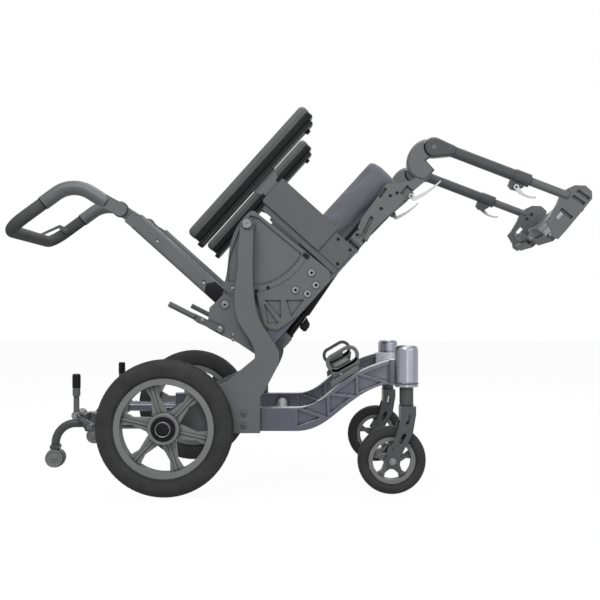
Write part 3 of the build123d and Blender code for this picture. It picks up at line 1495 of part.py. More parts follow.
def place_and_export():
    """Centres the chair over the origin and writes one STEP file for each piece."""
    boxes = [part.bounding_box() for part in pieces.values()]
    rear = min(box.min.X for box in boxes)
    front = max(box.max.X for box in boxes)
    shift = Location((-(rear + front) / 2, 0, -min(box.min.Z for box in boxes)))
    os.makedirs("parts", exist_ok=True)
    for name, part in pieces.items():
        placed = part.moved(shift)
        placed.label = name
        export_step(placed, f"parts/{name}.step")


build()
place_and_export()
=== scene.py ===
"""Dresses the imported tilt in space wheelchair: finishes, soft pieces, fasteners, studio and camera.

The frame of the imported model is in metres.  Pieces are shaped in millimetres, those of the seat in
seat axes (u forwards along the seat, w up from it, both from the tilt pivot), and then set in place.
"""

from __future__ import annotations

import logging
import math
from dataclasses import dataclass
from enum import Enum
from typing import Any, Iterator, Sequence

import bmesh
import bpy
from mathutils import Matrix, Vector
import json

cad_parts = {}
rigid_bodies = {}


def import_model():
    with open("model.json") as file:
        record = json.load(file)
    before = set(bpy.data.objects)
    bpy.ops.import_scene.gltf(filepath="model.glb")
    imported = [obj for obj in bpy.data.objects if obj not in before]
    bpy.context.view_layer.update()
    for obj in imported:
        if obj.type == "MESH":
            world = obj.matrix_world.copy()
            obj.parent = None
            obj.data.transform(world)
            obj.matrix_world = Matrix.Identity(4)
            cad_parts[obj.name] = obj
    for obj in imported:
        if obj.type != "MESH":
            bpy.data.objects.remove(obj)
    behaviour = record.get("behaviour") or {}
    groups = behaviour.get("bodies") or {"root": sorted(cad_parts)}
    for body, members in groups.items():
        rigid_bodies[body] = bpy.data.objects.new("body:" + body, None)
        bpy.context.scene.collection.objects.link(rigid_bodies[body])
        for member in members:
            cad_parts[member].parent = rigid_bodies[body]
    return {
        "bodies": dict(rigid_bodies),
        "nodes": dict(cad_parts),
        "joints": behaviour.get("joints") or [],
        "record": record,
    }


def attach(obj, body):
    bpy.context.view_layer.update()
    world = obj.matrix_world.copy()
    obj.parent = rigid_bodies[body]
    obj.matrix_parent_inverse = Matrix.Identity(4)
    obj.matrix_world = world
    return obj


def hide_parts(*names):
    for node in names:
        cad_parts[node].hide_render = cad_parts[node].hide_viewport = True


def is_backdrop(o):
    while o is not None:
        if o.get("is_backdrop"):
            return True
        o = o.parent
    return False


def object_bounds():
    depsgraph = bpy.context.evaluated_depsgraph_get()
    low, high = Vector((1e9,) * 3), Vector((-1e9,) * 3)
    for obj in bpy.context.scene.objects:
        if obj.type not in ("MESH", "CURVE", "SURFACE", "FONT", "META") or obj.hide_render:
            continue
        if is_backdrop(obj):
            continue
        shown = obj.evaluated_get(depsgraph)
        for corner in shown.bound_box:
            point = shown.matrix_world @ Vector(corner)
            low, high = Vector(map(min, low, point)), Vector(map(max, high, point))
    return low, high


log = logging.getLogger("wheelchair")

Point = tuple[float, float, float]
Colour = tuple[float, float, float]
Pair = tuple[float, float]
Outline = Sequence[Pair]
Shape = bmesh.types.BMesh
Edge = bmesh.types.BMEdge
Vert = bmesh.types.BMVert
Node = bpy.types.Node
Material = bpy.types.Material
Socket = tuple[Node, str | int]

MM = 0.001
MIX_SHARE, MIX_FIRST, MIX_SECOND, MIX_OUT = 0, 6, 7, 2
VECTOR_FIRST, VECTOR_SECOND, VECTOR_OUT = 4, 5, 1


class Side(Enum):
    """The two sides of the chair, as the sitter's own."""

    RIGHT = -1.0
    LEFT = 1.0

    @property
    def word(self) -> str:
        """The side's name as the nodes write it."""
        return self.name.lower()


def shift(x: float, y: float, z: float) -> Matrix:
    """A move by three distances."""
    return Matrix.Translation((x, y, z))


def swing(degrees: float, axis: str) -> Matrix:
    """A turn about one axis."""
    return Matrix.Rotation(math.radians(degrees), 4, axis)


def shade(colour: Colour, share: float) -> Colour:
    """A colour made lighter or darker by a share."""
    return tuple(min(1.0, part * share) for part in colour)


# ---------------------------------------------------------------- node trees
class Tree:
    """A node tree with short calls; a socket is given as its node and its name or number."""

    def __init__(self, tree: bpy.types.NodeTree) -> None:
        """Keeps the tree and empties it."""
        self.tree = tree
        tree.nodes.clear()

    def add(self, kind: str, **settings: Any) -> Node:
        """Adds a node.

        Args:
            kind: The node's Blender type.
            settings: Attributes to set on it.

        Returns:
            The new node.
        """
        node = self.tree.nodes.new(kind)
        for key, value in settings.items():
            setattr(node, key, value)
        return node

    def feed(self, value: Socket | Colour | float, node: Node, into: str | int) -> None:
        """Gives a node's input its value.

        Args:
            value: A socket to wire in, or a plain colour or number to set.
            node: The node that takes it.
            into: The input.
        """
        if isinstance(value, tuple) and isinstance(value[0], Node):
            self.tree.links.new(value[0].outputs[value[1]], node.inputs[into])
        else:
            node.inputs[into].default_value = (*value, 1.0) if isinstance(value, tuple) else value

    def math(self, operation: str, *values: Socket | float, clamp: bool = False) -> Socket:
        """Adds a math node.

        Args:
            operation: Blender's name of the operation.
            values: What goes into its inputs.
            clamp: Keeps the result between 0 and 1.

        Returns:
            The result's socket.
        """
        node = self.add("ShaderNodeMath", operation=operation, use_clamp=clamp)
        for index, value in enumerate(values):
            self.feed(value, node, index)
        return node, 0

    def ramp(self, source: Socket, stops: Sequence[tuple[float, Colour]]) -> Socket:
        """Adds a colour ramp on a value.

        Args:
            source: The value.
            stops: Places from 0 to 1 with their colours.

        Returns:
            The ramp's colour.
        """
        node = self.add("ShaderNodeValToRGB")
        while len(node.color_ramp.elements) < len(stops):
            node.color_ramp.elements.new(0.5)
        for element, (place, colour) in zip(node.color_ramp.elements, stops):
            element.position = place
            element.color = (*colour, 1.0)
        self.feed(source, node, "Fac")
        return node, "Color"

    def greys(self, source: Socket, *stops: Pair) -> Socket:
        """Adds a ramp of greys on a value, from stops of place and lightness."""
        return self.ramp(source, [(place, (level,) * 3) for place, level in stops])

    def ray(self, *kinds: str) -> Socket:
        """Tells whether a ray is of one of several kinds.

        Args:
            kinds: Blender's names of the kinds.

        Returns:
            A value that is 1 for such a ray and 0 for any other.
        """
        path = self.add("ShaderNodeLightPath")
        seen = (path, f"Is {kinds[0]} Ray")
        for kind in kinds[1:]:
            seen = self.math("MAXIMUM", seen, (path, f"Is {kind} Ray"))
        return seen


class Bench(Tree):
    """A material's node tree on object coordinates, with its principled shader."""

    def __init__(self, name: str) -> None:
        """Starts a material with its output, shader and coordinates.

        Args:
            name: The material's name.
        """
        self.material = bpy.data.materials.new(name)
        self.material.use_nodes = True
        super().__init__(self.material.node_tree)
        self.output = self.add("ShaderNodeOutputMaterial")
        self.shader = self.add("ShaderNodeBsdfPrincipled")
        self.feed((self.shader, "BSDF"), self.output, "Surface")
        self.place = (self.add("ShaderNodeTexCoord"), "Object")

    def noise(self, scale: float, detail: float = 3.0, rough: float = 0.5) -> Socket:
        """Adds a noise.

        Args:
            scale: Features to the metre.
            detail: Octaves.
            rough: How strong the fine octaves are.

        Returns:
            The noise's value.
        """
        node = self.add("ShaderNodeTexNoise")
        for key, value in (("Scale", scale), ("Detail", detail), ("Roughness", rough),
                           ("Vector", self.place)):
            self.feed(value, node, key)
        return node, "Fac"

    def cells(self, feature: str, scale: float) -> Socket:
        """Adds a cell pattern.

        Args:
            feature: Blender's name of what it measures.
            scale: Cells to the metre.

        Returns:
            The distance that it measures.
        """
        node = self.add("ShaderNodeTexVoronoi", feature=feature)
        self.feed(scale, node, "Scale")
        self.feed(self.place, node, "Vector")
        return node, "Distance"

    def mix(self, share: Socket | float, first: Socket, second: Socket | Colour,
            blend: str = "MIX") -> Socket:
        """Mixes two colours.

        Args:
            share: How much of the second there is.
            first: The colour below.
            second: The colour that comes over it.
            blend: Blender's name of the way they mix.

        Returns:
            The mixed colour.
        """
        node = self.add("ShaderNodeMix", data_type="RGBA", blend_type=blend)
        for value, into in ((share, MIX_SHARE), (first, MIX_FIRST), (second, MIX_SECOND)):
            self.feed(value, node, into)
        return node, MIX_OUT

    def mottle(self, source: Socket, colour: Colour, *stops: Pair) -> Socket:
        """A colour that grows darker and lighter with a value, from stops of place and share."""
        return self.ramp(source, [(place, shade(colour, share)) for place, share in stops])

    def paint(self, tone: Socket) -> None:
        """Colours the shader."""
        self.feed(tone, self.shader, "Base Color")

    def gloss(self, source: Socket, *stops: Pair) -> None:
        """Sets the shader's roughness by a value, from stops of place and roughness."""
        self.feed(self.greys(source, *stops), self.shader, "Roughness")

    def edges(self, radius: float, lift: float = 4.0) -> tuple[Socket, Socket]:
        """Rounds the shading of sharp edges and finds them.

        Args:
            radius: How far the rounding reaches.
            lift: How fast the second value rises towards an edge.

        Returns:
            The rounded normal, and a value that rises to 1 on an edge.
        """
        bevel = self.add("ShaderNodeBevel", samples=6)
        self.feed(radius, bevel, "Radius")
        agree = self.add("ShaderNodeVectorMath", operation="DOT_PRODUCT")
        self.feed((bevel, "Normal"), agree, 0)
        self.feed((self.add("ShaderNodeNewGeometry"), "Normal"), agree, 1)
        away = self.math("SUBTRACT", 1.0, (agree, "Value"), clamp=True)
        return (bevel, "Normal"), self.math("MULTIPLY", away, lift, clamp=True)

    def paint_edge_highlight_and_corner_shade(self, tone: Socket, edge: float, edge_highlight: Colour, reach: float = 7.0 * MM,
             least: float = 0.20) -> Socket:
        """Colours the shader with a tone that has a painted highlight on edges and painted shade in corners and
        seams.

        Args:
            tone: The colour of open faces.
            edge: How wide the edges are.
            edge_highlight: The lighter colour painted on edges as a highlight.
            reach: How far from a corner the painted shade starts.
            least: Share of the colour that the painted shade leaves in the deepest corner.

        Returns:
            The normal with rounded edges.
        """
        # Painted highlight: the colour is lighter on edges, where the rounded normal turns away.
        normal, rim = self.edges(edge)
        # Painted shade: an ambient occlusion mask darkens the colour in corners and seams.
        shut = self.add("ShaderNodeAmbientOcclusion", samples=6)
        self.feed(reach, shut, "Distance")
        painted_corner_shade = self.greys((shut, "AO"), (0.40, least), (0.90, 1.0))
        self.paint(self.mix(1.0, self.mix(rim, tone, edge_highlight), painted_corner_shade, "MULTIPLY"))
        return normal

    def bump(self, height: Socket, strength: float, distance: float, under: Socket | None = None) -> None:
        """Bumps the shader.

        Args:
            height: The value that gives the height.
            strength: Share of the bump that shows.
            distance: Height in metres.
            under: The normal that the bump starts from.
        """
        node = self.add("ShaderNodeBump")
        for key, value in (("Strength", strength), ("Distance", distance), ("Height", height)):
            self.feed(value, node, key)
        if under is not None:
            self.feed(under, node, "Normal")
        self.feed((node, "Normal"), self.shader, "Normal")

    def set(self, **values: float) -> None:
        """Sets the shader's own inputs; an underscore stands for a blank."""
        for key, value in values.items():
            self.feed(value, self.shader, key.replace("_", " "))


# ---------------------------------------------------------------- finishes
@dataclass(frozen=True)
class PowderCoat:
    """Sprayed coat over aluminium: even colour with a fine orange peel, edges painted lighter as a highlight and
    corners painted darker as shade.
    """

    name: str
    colour: Colour
    rough: float = 0.48
    metallic: float = 0.25
    # How much lighter the painted edge highlight is than the coat.
    rub: float = 1.35
    drift: float = 7.0
    blotch: float = 38.0
    peel: float = 900.0
    edge: float = 1.2 * MM

    def material(self) -> Material:
        """Builds the coat's node tree.

        Returns:
            The finished material.
        """
        bench = Bench(self.name)
        tone = bench.mottle(bench.noise(self.drift, 4.0), self.colour, (0.3, 0.93), (0.7, 1.06))
        # Painted highlight on edges and painted shade in corners and seams.
        normal = bench.paint_edge_highlight_and_corner_shade(tone, self.edge, shade(self.colour, self.rub))
        bench.gloss(bench.noise(self.blotch, 5.0, 0.6), (0.3, self.rough - 0.06), (0.75, self.rough + 0.08))
        bench.bump(bench.noise(self.peel, 2.0), 0.25, 0.12 * MM, normal)
        bench.set(Metallic=self.metallic, Specular_IOR_Level=0.25)
        return bench.material


@dataclass(frozen=True)
class FlakePaint:
    """Metallic lavender grey paint: a pearl base with fine flake under a thin clear coat; the flake's glint is
    painted as lighter specks, edges are painted lighter as a highlight and corners darker as shade.
    """

    name: str
    colour: Colour
    flake: Colour
    rough: float
    metallic: float = 0.6
    drift: float = 5.0
    flakes: float = 1400.0
    scuff: float = 60.0
    ripple: float = 420.0
    edge: float = 1.6 * MM

    def material(self) -> Material:
        """Builds the paint's node tree.

        Returns:
            The finished material.
        """
        bench = Bench(self.name)
        base = bench.mottle(bench.noise(self.drift), self.colour, (0.3, 0.9), (0.7, 1.08))
        # Painted glint: tiny cells mix up to a fifth of the flake colour into the base; edges take a painted
        # highlight of the flake colour.
        painted_flake_glint = bench.greys(bench.cells("F1", self.flakes), (0.0, 0.20), (0.35, 0.0))
        normal = bench.paint_edge_highlight_and_corner_shade(bench.mix(painted_flake_glint, base, self.flake), self.edge, shade(self.flake, 1.1))
        bench.gloss(bench.noise(self.scuff, 4.0), (0.3, self.rough - 0.05), (0.8, self.rough + 0.08))
        bench.bump(bench.noise(self.ripple, 2.0), 0.15, 0.1 * MM, normal)
        bench.set(Metallic=self.metallic, Coat_Weight=0.2, Coat_Roughness=0.14)
        return bench.material


@dataclass(frozen=True)
class Moulding:
    """Moulded plastic with a spark-eroded grain, edges painted lighter as a highlight and corners painted darker
    as shade.
    """

    name: str
    colour: Colour
    rough: float = 0.52
    drift: float = 11.0
    patch: float = 30.0
    grain: float = 1100.0
    depth: float = 0.10 * MM
    edge: float = 1.0 * MM
    gloss: float = 0.2

    def material(self) -> Material:
        """Builds the plastic's node tree.

        Returns:
            The finished material.
        """
        bench = Bench(self.name)
        tone = bench.mottle(bench.noise(self.drift, 4.0), self.colour, (0.3, 0.92), (0.7, 1.07))
        # Painted highlight on edges and painted shade in corners and seams.
        normal = bench.paint_edge_highlight_and_corner_shade(tone, self.edge, shade(self.colour, 1.28))
        bench.gloss(bench.noise(self.patch), (0.3, self.rough - 0.06), (0.8, self.rough + 0.07))
        bench.bump(bench.cells("SMOOTH_F1", self.grain), 0.3, self.depth, normal)
        bench.set(Specular_IOR_Level=self.gloss)
        return bench.material


@dataclass(frozen=True)
class TyreRubber:
    """Matt grey-black tyre rubber with a dusty bloom."""

    name: str
    colour: Colour = (0.026, 0.026, 0.026)
    dust: Colour = (0.050, 0.049, 0.047)
    bloom: float = 26.0
    pores: float = 1500.0

    def material(self) -> Material:
        """Builds the rubber's node tree.

        Returns:
            The finished material.
        """
        bench = Bench(self.name)
        bloom = bench.noise(self.bloom, 6.0, 0.62)
        tones = [(0.35, self.colour), (0.62, shade(self.colour, 1.5)), (0.85, self.dust)]
        bench.paint(bench.ramp(bloom, tones))
        bench.gloss(bloom, (0.3, 0.55), (0.8, 0.78))
        bench.bump(bench.noise(self.pores), 0.35, 0.15 * MM)
        bench.set(Specular_IOR_Level=0.12)
        return bench.material


@dataclass(frozen=True)
class PadSkin:
    """Integral foam skin of an arm pad: soft green grey with a leather grain."""

    name: str
    colour: Colour = (0.078, 0.081, 0.079)
    drift: float = 16.0
    leather: float = 520.0
    ripple: float = 160.0
    warp: float = 0.004

    def material(self) -> Material:
        """Builds the skin's node tree.

        Returns:
            The finished material.
        """
        bench = Bench(self.name)
        drift = bench.noise(self.drift, 5.0)
        bench.paint(bench.mottle(drift, self.colour, (0.3, 0.86), (0.72, 1.16)))
        cells, ripple = bench.cells("DISTANCE_TO_EDGE", self.leather), bench.noise(self.ripple, 2.0)
        bend = bench.add("ShaderNodeMix", data_type="VECTOR")
        bench.feed(self.warp, bend, MIX_SHARE)
        bench.feed(bench.place, bend, VECTOR_FIRST)
        bench.feed((ripple[0], "Color"), bend, VECTOR_SECOND)
        bench.feed((bend, VECTOR_OUT), cells[0], "Vector")
        bench.bump(bench.greys(cells, (0.0, 0.0), (0.12, 1.0)), 0.4, 0.16 * MM)
        bench.gloss(drift, (0.3, 0.42), (0.8, 0.56))
        bench.set(Specular_IOR_Level=0.2)
        return bench.material


@dataclass(frozen=True)
class StretchCloth:
    """Fine knitted cover of the seat cushion, with a slight sheen."""

    name: str
    colour: Colour = (0.110, 0.114, 0.134)
    drift: float = 9.0
    pitch: float = 1.3 * MM

    def material(self) -> Material:
        """Builds the cloth's node tree.

        Returns:
            The finished material.
        """
        bench = Bench(self.name)
        waves = []
        for direction in "XYZ":
            wave = bench.add("ShaderNodeTexWave", wave_type="BANDS", bands_direction=direction)
            for key, value in (("Scale", 0.314 / self.pitch), ("Distortion", 0.6), ("Detail", 1.0),
                               ("Vector", bench.place)):
                bench.feed(value, wave, key)
            waves.append((wave, "Fac"))
        knit = bench.math("MULTIPLY_ADD", waves[2], 0.5, bench.math("MULTIPLY", waves[0], waves[1]))
        tone = bench.mottle(bench.noise(self.drift, 5.0), self.colour, (0.3, 0.9), (0.7, 1.1))
        bench.paint(bench.mix(0.8, tone, bench.greys(knit, (0.1, 0.82), (0.8, 1.0)), "MULTIPLY"))
        bench.bump(knit, 0.3, 0.2 * MM)
        bench.set(Roughness=0.78, Sheen_Weight=0.2, Sheen_Roughness=0.45, Specular_IOR_Level=0.2)
        return bench.material


@dataclass(frozen=True)
class PlatedSteel:
    """Zinc plated steel of bolts, axles and pins."""

    name: str
    colour: Colour = (0.21, 0.21, 0.22)
    rough: float = 0.36
    cloud: float = 140.0
    scratch: float = 900.0
    edge: float = 0.5 * MM

    def material(self) -> Material:
        """Builds the plating's node tree.

        Returns:
            The finished material.
        """
        bench = Bench(self.name)
        cloud = bench.noise(self.cloud, 4.0)
        bench.paint(bench.mottle(cloud, self.colour, (0.3, 0.8), (0.75, 1.12)))
        bench.gloss(cloud, (0.3, self.rough - 0.08), (0.8, self.rough + 0.12))
        bench.bump(bench.noise(self.scratch, 2.0), 0.2, 0.06 * MM, bench.edges(self.edge)[0])
        bench.set(Metallic=0.9)
        return bench.material


@dataclass(frozen=True)
class GripFoam:
    """Closed-cell foam sleeve of the push handle."""

    name: str
    colour: Colour = (0.062, 0.063, 0.063)
    drift: float = 22.0
    pores: float = 900.0

    def material(self) -> Material:
        """Builds the foam's node tree.

        Returns:
            The finished material.
        """
        bench = Bench(self.name)
        bench.paint(bench.mottle(bench.noise(self.drift, 5.0), self.colour, (0.3, 0.82), (0.72, 1.2)))
        bench.bump(bench.cells("F1", self.pores), 0.5, 0.25 * MM)
        bench.set(Roughness=0.82, Specular_IOR_Level=0.15)
        return bench.material


class Finishes:
    """All the chair's finishes, made once."""

    def __init__(self) -> None:
        """Builds the materials: the record's slots first, then those of single pieces and nodes."""
        finishes = {
            "rail_metal": FlakePaint("lavender_flake", (0.074, 0.074, 0.096), (0.38, 0.37, 0.44), 0.34),
            "frame_metal": PowderCoat("graphite_coat", (0.104, 0.107, 0.109)),
            "bright_steel": PlatedSteel("zinc_plate"),
            "tyre_rubber": TyreRubber("tyre_black"),
            "wheel_plastic": Moulding("wheel_grey", (0.158, 0.160, 0.158), rough=0.46),
            "dark_plastic": Moulding("moulded_graphite", (0.092, 0.094, 0.096)),
            "pale_plastic": Moulding("moulded_pale", (0.52, 0.53, 0.53), rough=0.40),
            "pad_foam": PadSkin("pad_skin"),
            "cushion_cloth": StretchCloth("cushion_knit"),
            "grip": GripFoam("grip_foam"),
            "black": Moulding("moulded_black", (0.009, 0.009, 0.010), rough=0.40, grain=1600.0, gloss=0.1),
            "tray": Moulding("tray_black", (0.012, 0.016, 0.015), rough=0.50, gloss=0.1),
            "housing": FlakePaint("housing_flake", (0.29, 0.29, 0.33), (0.56, 0.55, 0.61), 0.33, 0.9),
            "charcoal": PowderCoat("charcoal_coat", (0.060, 0.062, 0.064), rough=0.42),
        }
        self.coats = {name: finish.material() for name, finish in finishes.items()}
        self.by_node = {"base_cross_tubes": "charcoal", "seat_cross_tubes": "charcoal"}
        own = {"leg_tube": "charcoal", "anti_tip_tube": "charcoal", "caster_fork": "charcoal",
               "leg_clamp_lever": "pale_plastic", "caster_housing": "housing"}
        for side in Side:
            self.by_node.update({f"{part}_{side.word}": coat for part, coat in own.items()})


# ---------------------------------------------------------------- shaping
class Forge:
    """Shapes bmeshes with Blender's operators, in millimetres: x along, y outwards, z up."""

    @staticmethod
    def only(parts: Sequence[Any], kind: type) -> list[Any]:
        """Picks the parts of one kind out of an operator's geometry."""
        return [part for part in parts if isinstance(part, kind)]

    @staticmethod
    def lathe(outline: Outline, steps: int = 64, closed: bool = False) -> Shape:
        """Spins an outline a full turn about the breadth axis.

        Args:
            outline: Points as radius and breadth.
            steps: Steps of the turn.
            closed: Joins the outline's ends, for a ring.

        Returns:
            The turned shape.
        """
        bm = bmesh.new()
        verts = [bm.verts.new((radius, breadth, 0.0)) for radius, breadth in outline]
        ends = verts[1:] + verts[:1] if closed else verts[1:]
        edges = [bm.edges.new(pair) for pair in zip(verts, ends)]
        bmesh.ops.spin(bm, geom=verts + edges, cent=(0.0, 0.0, 0.0), axis=(0.0, 1.0, 0.0),
                       angle=math.tau, steps=steps, use_merge=True)
        bmesh.ops.remove_doubles(bm, verts=bm.verts, dist=1e-3)
        return bm

    @staticmethod
    def soften(bm: Shape, edges: Sequence[Edge], offset: float, segments: int = 2) -> None:
        """Rounds edges.

        Args:
            bm: The shape.
            edges: Its edges to round.
            offset: Radius of the rounding.
            segments: Steps of the rounding.
        """
        bmesh.ops.bevel(bm, geom=list(edges), offset=offset, segments=segments, profile=0.5,
                        affect="EDGES", material=-1)

    @staticmethod
    def corners(bm: Shape, angle: float = 1.0) -> list[Edge]:
        """The edges that turn by more than an angle."""
        return [edge for edge in bm.edges if len(edge.link_faces) == 2 and edge.calc_face_angle(0.0) > angle]

    @classmethod
    def thicken(cls, bm: Shape, faces: Sequence[bmesh.types.BMFace], depth: float) -> None:
        """Pushes faces out along the breadth into a closed shape.

        Args:
            bm: The shape.
            faces: Its faces to push.
            depth: How far.
        """
        grown = bmesh.ops.extrude_face_region(bm, geom=faces)["geom"]
        bmesh.ops.translate(bm, vec=(0.0, depth, 0.0), verts=cls.only(grown, Vert))
        bmesh.ops.recalc_face_normals(bm, faces=bm.faces)

    @classmethod
    def plate(cls, outline: Outline, low: float, high: float, bevel: float = 0.8) -> Shape:
        """Pushes an outline out along the breadth and rounds its rims.

        Args:
            outline: Corners as x and z.
            low: Breadth of its inner face.
            high: Breadth of its outer face.
            bevel: Radius of the rims.

        Returns:
            The plate.
        """
        bm = bmesh.new()
        face = bm.faces.new([bm.verts.new((x, low, z)) for x, z in outline])
        cls.thicken(bm, [face], high - low)
        rims = [edge for edge in bm.edges if abs(edge.verts[0].co.y - edge.verts[1].co.y) < 1e-6]
        cls.soften(bm, rims, bevel)
        return bm

    @staticmethod
    def box(size: Point) -> Shape:
        """A sharp block about the origin.

        Args:
            size: Along, across and up.

        Returns:
            The block.
        """
        bm = bmesh.new()
        bmesh.ops.create_cube(bm, size=1.0)
        bmesh.ops.scale(bm, vec=size, verts=bm.verts)
        return bm

    @classmethod
    def block(cls, size: Point, corner: float, rim: float, sill: float) -> Shape:
        """A block about the origin with round upright corners, a round top rim and another lower one.

        Args:
            size: Along, across and up.
            corner: Radius of its upright corners.
            rim: Radius of its top rim.
            sill: Radius of its lower rim.

        Returns:
            The block.
        """
        bm = cls.box(size)
        upright = [edge for edge in bm.edges if abs(edge.verts[0].co.z - edge.verts[1].co.z) > 1.0]
        cls.soften(bm, upright, corner, 6)
        for level, radius in ((size[2] / 2, rim), (-size[2] / 2, sill)):
            cls.soften(bm, [edge for edge in bm.edges
                            if all(abs(vert.co.z - level) < 0.01 for vert in edge.verts)], radius, 5)
        return bm

    @classmethod
    def bolt(cls, radius: float, height: float, socket: float) -> Shape:
        """A button head along the breadth axis with a hexagon socket.

        Args:
            radius: Of the head.
            height: Of the head.
            socket: Radius to the hexagon's corners.

        Returns:
            The head, open where it sits.
        """
        bm = cls.lathe(((radius * 0.62, height), (radius * 0.86, height * 0.84), (radius, height * 0.4),
                        (radius, 0.0)), steps=24)
        rings = [[edge for edge in bm.edges if edge.is_boundary and edge.verts[0].co.y > height * 0.9]]
        for level, capped in ((height, False), (height * 0.35, True)):
            made = bmesh.ops.create_circle(bm, cap_ends=capped, radius=socket, segments=6,
                                           matrix=shift(0.0, level, 0.0) @ swing(-90.0, "X"))["verts"]
            rings.append(list({edge for vert in made for edge in vert.link_edges}))
        for first, second in zip(rings, rings[1:]):
            bmesh.ops.bridge_loops(bm, edges=first + second)
        return bm

    @classmethod
    def arc_band(cls, radii: Pair, sweep: Pair, breadths: Pair, teeth: int, tooth: float) -> Shape:
        """A flat arc about the breadth axis with teeth on its inner edge.

        Args:
            radii: Its inner and outer radius.
            sweep: Angles of its two ends in degrees, counted from x towards z.
            breadths: Of its inner and outer face.
            teeth: How many teeth.
            tooth: Their depth.

        Returns:
            The closed band.
        """
        bm = bmesh.new()
        start, low = math.radians(sweep[0]), breadths[0]
        verts = [bm.verts.new((radius * math.cos(start), low, radius * math.sin(start))) for radius in radii]
        edge = bm.edges.new(verts)
        bmesh.ops.spin(bm, geom=[*verts, edge], cent=(0.0, 0.0, 0.0), axis=(0.0, 1.0, 0.0),
                       angle=-math.radians(sweep[1] - sweep[0]), steps=2 * teeth)
        middle = sum(radii) / 2
        rim = [part for part in bm.edges if all(Vector(vert.co).xz.length < middle for vert in part.verts)]
        rim.sort(key=lambda part: math.atan2(part.verts[0].co.z + part.verts[1].co.z,
                                             part.verts[0].co.x + part.verts[1].co.x))
        share = (radii[0] - tooth) / radii[0]
        for part in rim[1::2]:
            grown = bmesh.ops.extrude_edge_only(bm, edges=[part])["geom"]
            bmesh.ops.scale(bm, vec=(share, 1.0, share), verts=cls.only(grown, Vert))
        cls.thicken(bm, bm.faces[:], breadths[1] - low)
        return bm

    @classmethod
    def push(cls, bm: Shape, edges: list[Edge], way: Vector) -> list[Edge]:
        """Extrudes a ring of edges.

        Args:
            bm: The shape.
            edges: The ring.
            way: How far and where to.

        Returns:
            The new ring.
        """
        grown = bmesh.ops.extrude_edge_only(bm, edges=edges)["geom"]
        bmesh.ops.translate(bm, vec=way, verts=cls.only(grown, Vert))
        return [part for part in cls.only(grown, Edge) if part.is_boundary]

    @classmethod
    def pipe(cls, corners: Sequence[Vector], radius: float, bend: float = 0.0, steps: int = 12) -> Shape:
        """Sweeps a circle along straight runs joined by arcs, and caps its ends.

        Args:
            corners: Corners of the route with its two ends.
            radius: Of the circle.
            bend: Radius of the arc at each inner corner.
            steps: Of each arc.

        Returns:
            The closed pipe.
        """
        bm = bmesh.new()
        run = (corners[1] - corners[0]).normalized()
        turn = Vector((0.0, 0.0, 1.0)).rotation_difference(run).to_matrix().to_4x4()
        bmesh.ops.create_circle(bm, cap_ends=False, radius=radius, segments=32,
                                matrix=Matrix.Translation(corners[0]) @ turn)
        ring, at = list(bm.edges), corners[0]
        for corner, after in zip(corners[1:-1], corners[2:]):
            onward = (after - corner).normalized()
            angle = run.angle(onward)
            start = corner - run * bend * math.tan(angle / 2)
            ring = cls.push(bm, ring, start - at)
            axis = run.cross(onward).normalized()
            spun = bmesh.ops.spin(bm, geom=ring, cent=start + axis.cross(run) * bend, axis=axis,
                                  angle=angle, steps=steps)
            ring = cls.only(spun["geom_last"], Edge)
            at, run = corner + onward * bend * math.tan(angle / 2), onward
        cls.push(bm, ring, corners[-1] - at)
        bmesh.ops.holes_fill(bm, edges=[edge for edge in bm.edges if edge.is_boundary], sides=0)
        return bm

    @staticmethod
    def add(target: Shape, part: Shape, place: Matrix | None = None) -> Shape:
        """Puts one shape into another and frees it.

        Args:
            target: The shape that grows.
            part: The shape that is put in.
            place: Where to, in the target's axes.

        Returns:
            The target.
        """
        if place is not None:
            bmesh.ops.transform(part, matrix=place, verts=part.verts)
        mesh = bpy.data.meshes.new("joining")
        part.to_mesh(mesh)
        part.free()
        target.from_mesh(mesh)
        bpy.data.meshes.remove(mesh)
        return target

    @staticmethod
    def seam(bm: Shape, height: float, width: float, depth: float) -> None:
        """Draws a level seam into the sides of a closed shape.

        Args:
            bm: The shape.
            height: Level of the seam.
            width: Across the seam.
            depth: How far its bottom pulls in.
        """
        for level in (height - width / 2, height, height + width / 2):
            bmesh.ops.bisect_plane(bm, geom=bm.verts[:] + bm.edges[:] + bm.faces[:],
                                   plane_co=(0.0, 0.0, level), plane_no=(0.0, 0.0, 1.0))
        bm.normal_update()
        for vert in bm.verts:
            if abs(vert.co.z - height) < 1e-3:
                vert.co -= Vector((vert.normal.x, vert.normal.y, 0.0)).normalized() * depth


# ---------------------------------------------------------------- frame and shop
class Frame:
    """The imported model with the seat's axes read from its tilt joint."""

    TILT = math.radians(48.0)
    PIVOT = (-128.5, 599.0)

    def __init__(self) -> None:
        """Loads the frame and keeps the CAD box."""
        self.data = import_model()
        self.cad_box = [list(corner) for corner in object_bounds()]
        joints = {joint["name"]: joint for joint in self.data["joints"]}
        pivot = joints["tilt"]["pos_m"]
        self.pivot = Vector((pivot[0], 0.0, pivot[2]))
        self.slots = {part["node"]: part["material_slot"] for part in self.data["record"]["subparts"]}

    @staticmethod
    def place(origin: Vector, tilt: float, side: Side) -> Matrix:
        """Takes millimetres along, outwards and up from an origin to the row frame.

        Args:
            origin: Where the axes start, in metres.
            tilt: How far the first axis rises.
            side: The side that outwards points to.

        Returns:
            The placing matrix.
        """
        cos_t, sin_t = math.cos(tilt), math.sin(tilt)
        axes = Matrix(((cos_t, 0.0, -sin_t), (0.0, side.value, 0.0), (sin_t, 0.0, cos_t))) * MM
        return Matrix.Translation(origin) @ axes.to_4x4()

    def seat_place(self, side: Side) -> Matrix:
        """Takes seat axes (u, outwards, w) from the tilt pivot to the row frame."""
        return self.place(self.pivot, self.TILT, side)

    def base_place(self, side: Side) -> Matrix:
        """Takes base axes (x, outwards, z) to the row frame."""
        origin = Vector((self.pivot.x - self.PIVOT[0] * MM, 0.0, self.pivot.z - self.PIVOT[1] * MM))
        return self.place(origin, 0.0, side)


